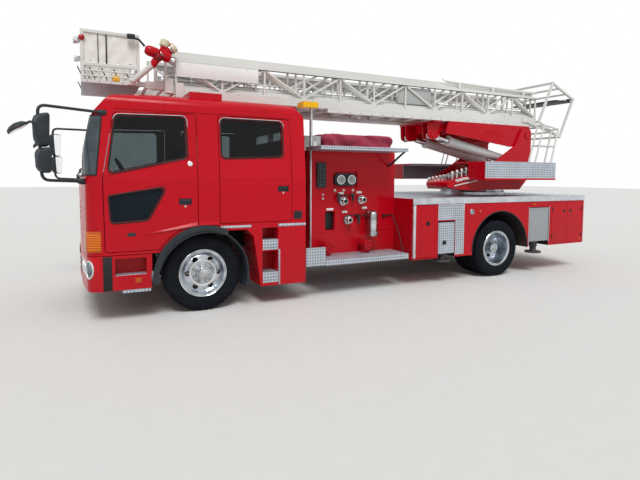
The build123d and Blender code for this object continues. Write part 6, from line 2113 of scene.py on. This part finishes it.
@dataclass
class LadderRun:
    """Ropes, sheaves, dark strips of painted shadow between the rails, pole and cage plank of the
    telescopic ladder.
    """

    pole_y: float = 0.415
    rope: float = 0.005

    def build(self) -> None:
        """Dresses the sections and the cage."""
        self.ropes()
        self.strips()
        self.pole()
        self.plank()

    def ropes(self) -> None:
        """Extension ropes inside each section and the sheaves at their ends."""
        # Columns: body, X rear, X front, distance from the middle, height
        rows = ((Body.BOOM, -5.80, 0.10, 0.395, 2.500), (Body.LADDER_2, -5.74, 0.22, 0.345, 2.548),
                (Body.LADDER_3, -5.68, 0.32, 0.297, 2.596))
        for body, rear, front, y, z in rows:
            rope, wheel = Blank(), Blank()
            for _, side in SIDES:
                for lift in (0.0, 0.034):
                    ends = [at(x, side * y, z + lift) for x in (rear, front)]
                    rope.pipe(ends, self.rope, 6)
                for x in (rear, front):
                    wheel.turned([(0.006, -0.007), (0.024, -0.007), (0.020, -0.002), (0.020, 0.002),
                                  (0.024, 0.007), (0.006, 0.007)], at(x, side * y, z + 0.017), LEFT, 28)
                    y0, y1 = sorted((side * (y - 0.003), side * (y + 0.0125)))
                    wheel.block(at(x - 0.006, y0, z + 0.011), at(x + 0.006, y1, z + 0.023), 0.001)
            rope.made(f"hoist_ropes_{body.value}", ROPE, Slot.STEEL, body)
            wheel.made(f"hoist_sheaves_{body.value}", STEEL, Slot.STEEL, body)

    def strips(self) -> None:
        """Dark strips under the top rail of each section: painted shadow of the gaps, which parts the
        rails to the eye.
        """
        for body, rear, front, half, z in ((Body.BOOM, -5.84, 0.15, 0.450, 2.794),
                                           (Body.LADDER_2, -5.78, 0.26, 0.400, 2.842),
                                           (Body.LADDER_3, -5.72, 0.37, 0.350, 2.888)):
            blank = Blank()
            for _, side in SIDES:
                y0, y1 = sorted((side * (half - 0.001), side * (half + 0.0015)))
                blank.block(at(rear, y0, z - 0.004), at(front, y1, z + 0.005), 0.0005)
            # Painted shadow: these dark strips stand for the shade in the gaps between the sections'
            # rails, though they take the dark plastic finish.
            blank.made(f"painted_gap_shadow_strips_{body.value}", DARK_PLASTIC, Slot.PLASTIC, body)

    def pole(self) -> None:
        """The hook pole carried along the top of the first section."""
        blank = Blank()
        blank.pipe([at(-3.90, self.pole_y, 2.935), at(-5.70, self.pole_y, 2.905)], 0.018, 12)
        blank.stacked([(0.022, 0.0), (0.026, 0.02), (0.026, 0.10), (0.018, 0.12)],
                      at(-5.70, self.pole_y, 2.905), ASTERN, 16)
        blank.pipe([at(-3.90, self.pole_y, 2.935), at(-3.84, self.pole_y, 2.945),
                    at(-3.82, self.pole_y, 2.975)], 0.008, 8)
        for x in (-4.15, -4.85, -5.55):
            blank.block(at(x - 0.025, 0.392, 2.838), at(x + 0.025, 0.438, 2.925), 0.004)
        blank.made("hook_pole", LADDER_WHITE, Slot.WHITE, Body.BOOM)

    def plank(self) -> None:
        """The dark plank across the cage's top."""
        blank = Blank()
        blank.block(at(-6.700, -0.468, 2.800), at(-6.300, 0.468, 2.826), 0.004)
        for y in (-0.44, 0.44):
            blank.block(at(-6.690, y - 0.02, 2.826), at(-6.650, y + 0.02, 2.868), 0.003)
        blank.made("cage_plank", DARK_PLASTIC, Slot.PLASTIC, Body.BOOM)


@dataclass
class BasketTrim:
    """Cloth panels, lamps and monitor fittings of the tip basket."""

    rear: float = 0.550
    front: float = 1.140
    half: float = 0.500
    low: float = 2.466
    panel_low: float = 2.678
    panel_high: float = 2.989
    monitor_y: float = 0.545

    def build(self) -> None:
        """Dresses the basket."""
        left = self.cloth("left", at(0.582, 0.485, self.panel_low), Vector((0.526, 0, 0)), LEFT)
        self.cloth("right", at(0.582, -0.485, self.panel_low), Vector((0.526, 0, 0)),
                   Vector((0, -1, 0)))
        self.cloth("front", at(1.125, -0.468, self.panel_low), Vector((0, 0.936, 0)), AHEAD)
        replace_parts(left, "basket_panels")
        self.bars()
        self.lamps()
        self.monitor()

    def bars(self) -> None:
        """Flat bars and braces between the lower rails, straps over the cloth and a small tool box."""
        white, dark = Blank(), Blank()
        for _, side in SIDES:
            y = side * self.half
            for z in (2.540, 2.595):
                white.pipe([at(0.565, y, z), at(1.125, y, z)], 0.008, 8)
            for i in range(5):
                x = 0.610 + 0.118 * i
                white.pipe([at(x, y, 2.485), at(x, y, 2.630)], 0.009, 8)
                dark.pipe([at(x + 0.03, side * 0.47, 2.49), at(x + 0.09, side * 0.47, 2.63)], 0.006, 6)
            for x, wide in ((0.880, 0.014), (0.965, 0.008)):
                dark.slab(x, x + wide, 0.4935, side, 2.660, 2.985, 0.002)
        white.made("basket_bars", LADDER_WHITE, Slot.WHITE, Body.BASKET)
        dark.made("basket_straps", SEAL, Slot.PLASTIC, Body.BASKET)
        box = Blank()
        box.block(at(0.760, 0.470, 2.500), at(0.830, 0.506, 2.560), 0.004)
        box.made("basket_tool_box", LAMP_YELLOW, Slot.WHITE, Body.BASKET)

    def cloth(self, name: str, corner: Vector, along: Vector, out: Vector) -> bpy.types.Object:
        """One laced panel with soft creases, its piping and its eyelets.

        Args:
            name: Left, right or front.
            corner: Its first low corner.
            along: Its lower edge.
            out: The way out of the basket.

        Returns:
            The sheet's piece.
        """
        high = self.panel_high - self.panel_low
        across = max(8, round(along.length / 0.012))
        up = 26
        blank = Blank()
        grid = []
        for j in range(up + 1):
            row = []
            for i in range(across + 1):
                u, v = i / across, j / up
                place = corner + along * u + Vector((0, 0, high * v))
                edge = min(1.0, 5 * min(u, 1 - u)) * min(1.0, 5 * min(v, 1 - v))
                crease = noise.noise(place * 7.0) + 0.5 * math.sin(u * along.length * 38 + v * 7)
                row.append(blank.mesh.verts.new(place + out * 0.0055 * crease * edge))
            grid.append(row)
        for j in range(up):
            for i in range(across):
                blank.mesh.faces.new((grid[j][i], grid[j][i + 1], grid[j + 1][i + 1], grid[j + 1][i]))
        piece = blank.made(f"basket_cloth_{name}", BASKET_CLOTH, Slot.CLOTH, Body.BASKET, angle=80)
        thicken(piece, 0.0)
        hem = Blank()
        rim = [corner, corner + along, corner + along + Vector((0, 0, high)),
               corner + Vector((0, 0, high))]
        hem.pipe(rim, 0.0035, 6, closed=True)
        hem.made(f"basket_piping_{name}", BASKET_CLOTH, Slot.CLOTH, Body.BASKET)
        eyes = Blank()
        count = max(3, round(along.length / 0.13))
        for k in range(count):
            for z in (0.016, high - 0.016):
                place = corner + along * ((k + 0.5) / count) + Vector((0, 0, z))
                eyes.turned([(0.005, 0.0015), (0.009, 0.0035), (0.012, 0.0015), (0.012, -0.0015),
                             (0.005, -0.0015)], place, out, 16)
        eyes.made(f"basket_eyelets_{name}", STEEL, Slot.STEEL, Body.BASKET)
        return piece

    def lamps(self) -> None:
        """A red marker on each side and round working lamps on the front corners."""
        red, bright, shell = Blank(), Blank(), Blank()
        for _, side in SIDES:
            out = Vector((0, side, 0))
            centre = at(1.125, side * self.half, 2.928)
            red.stacked([(0.030, 0.0), (0.030, 0.010), (0.020, 0.018), (0.005, 0.020)], centre, out, 28)
            place = at(self.front, side * 0.455, 2.905)
            shell.stacked([(0.020, 0.0), (0.030, 0.010), (0.038, 0.030), (0.040, 0.060)], place,
                          AHEAD, 28)
            bright.stacked([(0.036, 0.060), (0.032, 0.066), (0.012, 0.070)], place, AHEAD, 28)
            bright.turned([(0.036, 0.058), (0.040, 0.066), (0.043, 0.058)], place, AHEAD, 28)
        red.made("basket_markers", TAIL_RED, Slot.LAMP, Body.BASKET)
        bright.made("basket_lamp_lenses", CLEAR_LENS, Slot.LAMP, Body.BASKET)
        shell.made("basket_lamp_shells", CHROME, Slot.PLASTIC, Body.BASKET)

    def monitor(self) -> None:
        """The water monitor's barrel and nozzle, with its flanges, a dark disc of painted shade for its
        bore, its hand wheel and handle.
        """
        dark, bright = Blank(), Blank()
        head = at(self.rear - 0.190, self.monitor_y, self.low + 0.330)
        muzzle = at(self.rear - 0.330, self.monitor_y, self.low + 0.430)
        way = (muzzle - head).normalized()
        for share in (0.25, 0.92):
            bright.turned([(0.043, -0.006), (0.053, -0.006), (0.053, 0.006), (0.043, 0.006)],
                          head + (muzzle - head) * share, way, 32)
        tip = at(self.rear - 0.375, self.monitor_y, self.low + 0.462)
        # A flat dark disc at the tip: painted shade of the open bore.
        dark.stacked([(0.040, -0.004), (0.038, 0.002)], tip, way, 28)
        centre = at(self.rear - 0.190, 0.600, self.low + 0.330)
        dark.turned([(0.040, -0.005), (0.045, 0.0), (0.050, -0.005), (0.045, -0.010)], centre, LEFT, 32)
        for turn in range(3):
            angle = math.radians(120 * turn + 30)
            ray = spoke(angle)
            dark.pipe([centre - Vector((0, 0.006, 0)), centre + ray * 0.045 - Vector((0, 0.005, 0))],
                      0.004, 6)
        dark.rod(0.010, 0.0, -0.012, centre, LEFT, 12)
        dark.pipe([at(0.50, self.monitor_y, 2.90), at(0.56, self.monitor_y, 2.965),
                   at(0.67, self.monitor_y, 2.99)], 0.012, 8)
        dark.block(at(0.60, 0.52, 2.965), at(0.68, 0.57, 3.012), 0.006)
        dark.made("monitor_controls", SEAL, Slot.PLASTIC, Body.BASKET)
        body, cap = Blank(), Blank()
        start, end = at(0.470, self.monitor_y, 2.862), at(0.230, self.monitor_y, 2.800)
        body.stacked([(0.030, -0.030), (0.050, -0.010), (0.058, 0.020), (0.058, 0.090), (0.048, 0.110),
                      (0.048, 0.170), (0.060, 0.185), (0.060, 0.235), (0.040, 0.255)], start,
                     end - start, 32)
        body.pipe([at(0.330, self.monitor_y, 2.840), at(0.300, self.monitor_y, 2.900),
                   at(0.290, self.monitor_y, 2.925)], 0.036, 20)
        body.made("monitor_body", RED, Slot.RED, Body.BASKET)
        cap.stacked([(0.040, 0.0), (0.052, 0.012), (0.054, 0.070), (0.044, 0.080)],
                    at(0.300, self.monitor_y, 2.915), Vector((-0.35, 0, 1)), 32)
        cap.made("monitor_nozzle", CAP_CREAM, Slot.WHITE, Body.BASKET)
        bright.made("monitor_flanges", STEEL, Slot.STEEL, Body.BASKET)


@dataclass
class CabGap:
    """What stands in the gap between the cab and the pump house."""

    x: float = -1.320
    y: float = 0.560
    pleats: int = 27

    def build(self) -> None:
        """The air intake's pleated duct and its box, to the left of the ladder's rest."""
        dark = Blank()
        rows = []
        for i in range(self.pleats):
            z = 0.30 + i * 0.030
            rows.append((0.070 if i % 2 else 0.060, z))
        dark.stacked([(0.060, 0.26)] + rows + [(0.060, 1.12)], at(self.x, self.y, 0.560), UP, 36)
        dark.block(at(-1.448, 0.500, 1.300), at(-1.380, 0.620, 1.500), 0.010)
        dark.made("intake_duct", SEAL, Slot.PLASTIC)


@dataclass
class Studio:
    """Floor, soft lights and the camera at the photograph's viewpoint."""

    camera_place: tuple[float, float, float] = (1.16, 6.25, 1.48)
    camera_yaw: float = -116.4
    camera_pitch: float = -3.72
    camera_roll: float = 0.26
    lens: float = 26.98
    shift_y: float = -0.0516
    floor_half: float = 60.0
    sky: float = 0.55
    sun: float = 2.1
    sun_softness: float = 25.0
    sun_turn: tuple[float, float] = (-33.0, 12.0)

    def build(self) -> None:
        """Makes everything round the vehicle."""
        self.build_floor()
        self.build_world()
        self.build_lights()
        self.build_camera()

    def build_floor(self) -> None:
        """A plain pale floor under the wheels."""
        data = bpy.data.meshes.new("floor")
        reach = self.floor_half
        corners = [(-reach, -reach, 0), (reach, -reach, 0), (reach, reach, 0), (-reach, reach, 0)]
        data.from_pydata(corners, [], [(0, 1, 2, 3)])
        data.materials.append(Moulded("floor_painted_board", "d6d6d4", roughness=0.9,
                                      faded="cfcfcd").material())
        floor = bpy.data.objects.new("floor", data)
        bpy.context.scene.collection.objects.link(floor)

    def build_world(self) -> None:
        """A white backdrop that lights less than it shows."""
        world = bpy.data.worlds.new("studio")
        world.use_nodes = True
        tree = world.node_tree
        tree.nodes.clear()
        path = put(tree, "ShaderNodeLightPath").outputs
        seen = path["Is Camera Ray"]
        for ray in ("Is Glossy Ray", "Is Transmission Ray"):
            seen = put(tree, "ShaderNodeMath", {0: seen, 1: path[ray]}, operation="MAXIMUM").outputs[0]
        strength = between(tree, seen, 0, 1, self.sky, 1.0)
        back = put(tree, "ShaderNodeBackground", {"Color": (1, 1, 1, 1), "Strength": strength})
        put(tree, "ShaderNodeOutputWorld", {"Surface": back.outputs[0]})
        bpy.context.scene.world = world
        bpy.context.scene.view_settings.view_transform = "Standard"

    def build_lights(self) -> None:
        """One broad soft key from above the camera's side."""
        data = bpy.data.lights.new("key", "SUN")
        data.energy = self.sun
        data.angle = math.radians(self.sun_softness)
        key = bpy.data.objects.new("key", data)
        key.rotation_euler = (*map(math.radians, self.sun_turn), 0)
        bpy.context.scene.collection.objects.link(key)

    def build_camera(self) -> None:
        """The camera, where the photograph was taken from."""
        data = bpy.data.cameras.new("camera")
        data.lens = self.lens
        data.shift_y = self.shift_y
        camera = bpy.data.objects.new("camera", data)
        camera.location = at(*self.camera_place)
        yaw, pitch = math.radians(self.camera_yaw), math.radians(self.camera_pitch)
        way = Vector((math.cos(yaw) * math.cos(pitch), math.sin(yaw) * math.cos(pitch),
                      math.sin(pitch)))
        roll = Matrix.Rotation(math.radians(self.camera_roll), 3, "Z")
        camera.rotation_euler = (way.to_track_quat("-Z", "Y").to_matrix() @ roll).to_euler()
        bpy.context.scene.collection.objects.link(camera)
        bpy.context.scene.camera = camera


def both(kind: type[Flank]) -> list[Flank]:
    """A sub-assembly's left and right side."""
    return [kind(name, side) for name, side in SIDES]


def main() -> None:
    """Builds and dresses every sub-assembly in order."""
    logging.basicConfig(level=logging.INFO, format="%(message)s")
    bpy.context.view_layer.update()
    Coachwork().dress()
    for part in (*both(Wheels), *both(CabTrim), CabFront(), *both(Mirrors), CabSeats(), CabGap(),
                 *both(PumpBay), HoseCover(), *both(BodyTrim), Deck(), LiftingCradle(),
                 *both(TurntableTrim), Console(), *both(LadderTrim), LadderRun(), BasketTrim(),
                 Studio()):
        LOG.info("building %s", type(part).__name__)
        part.build()


if __name__ == "__main__":
    main()
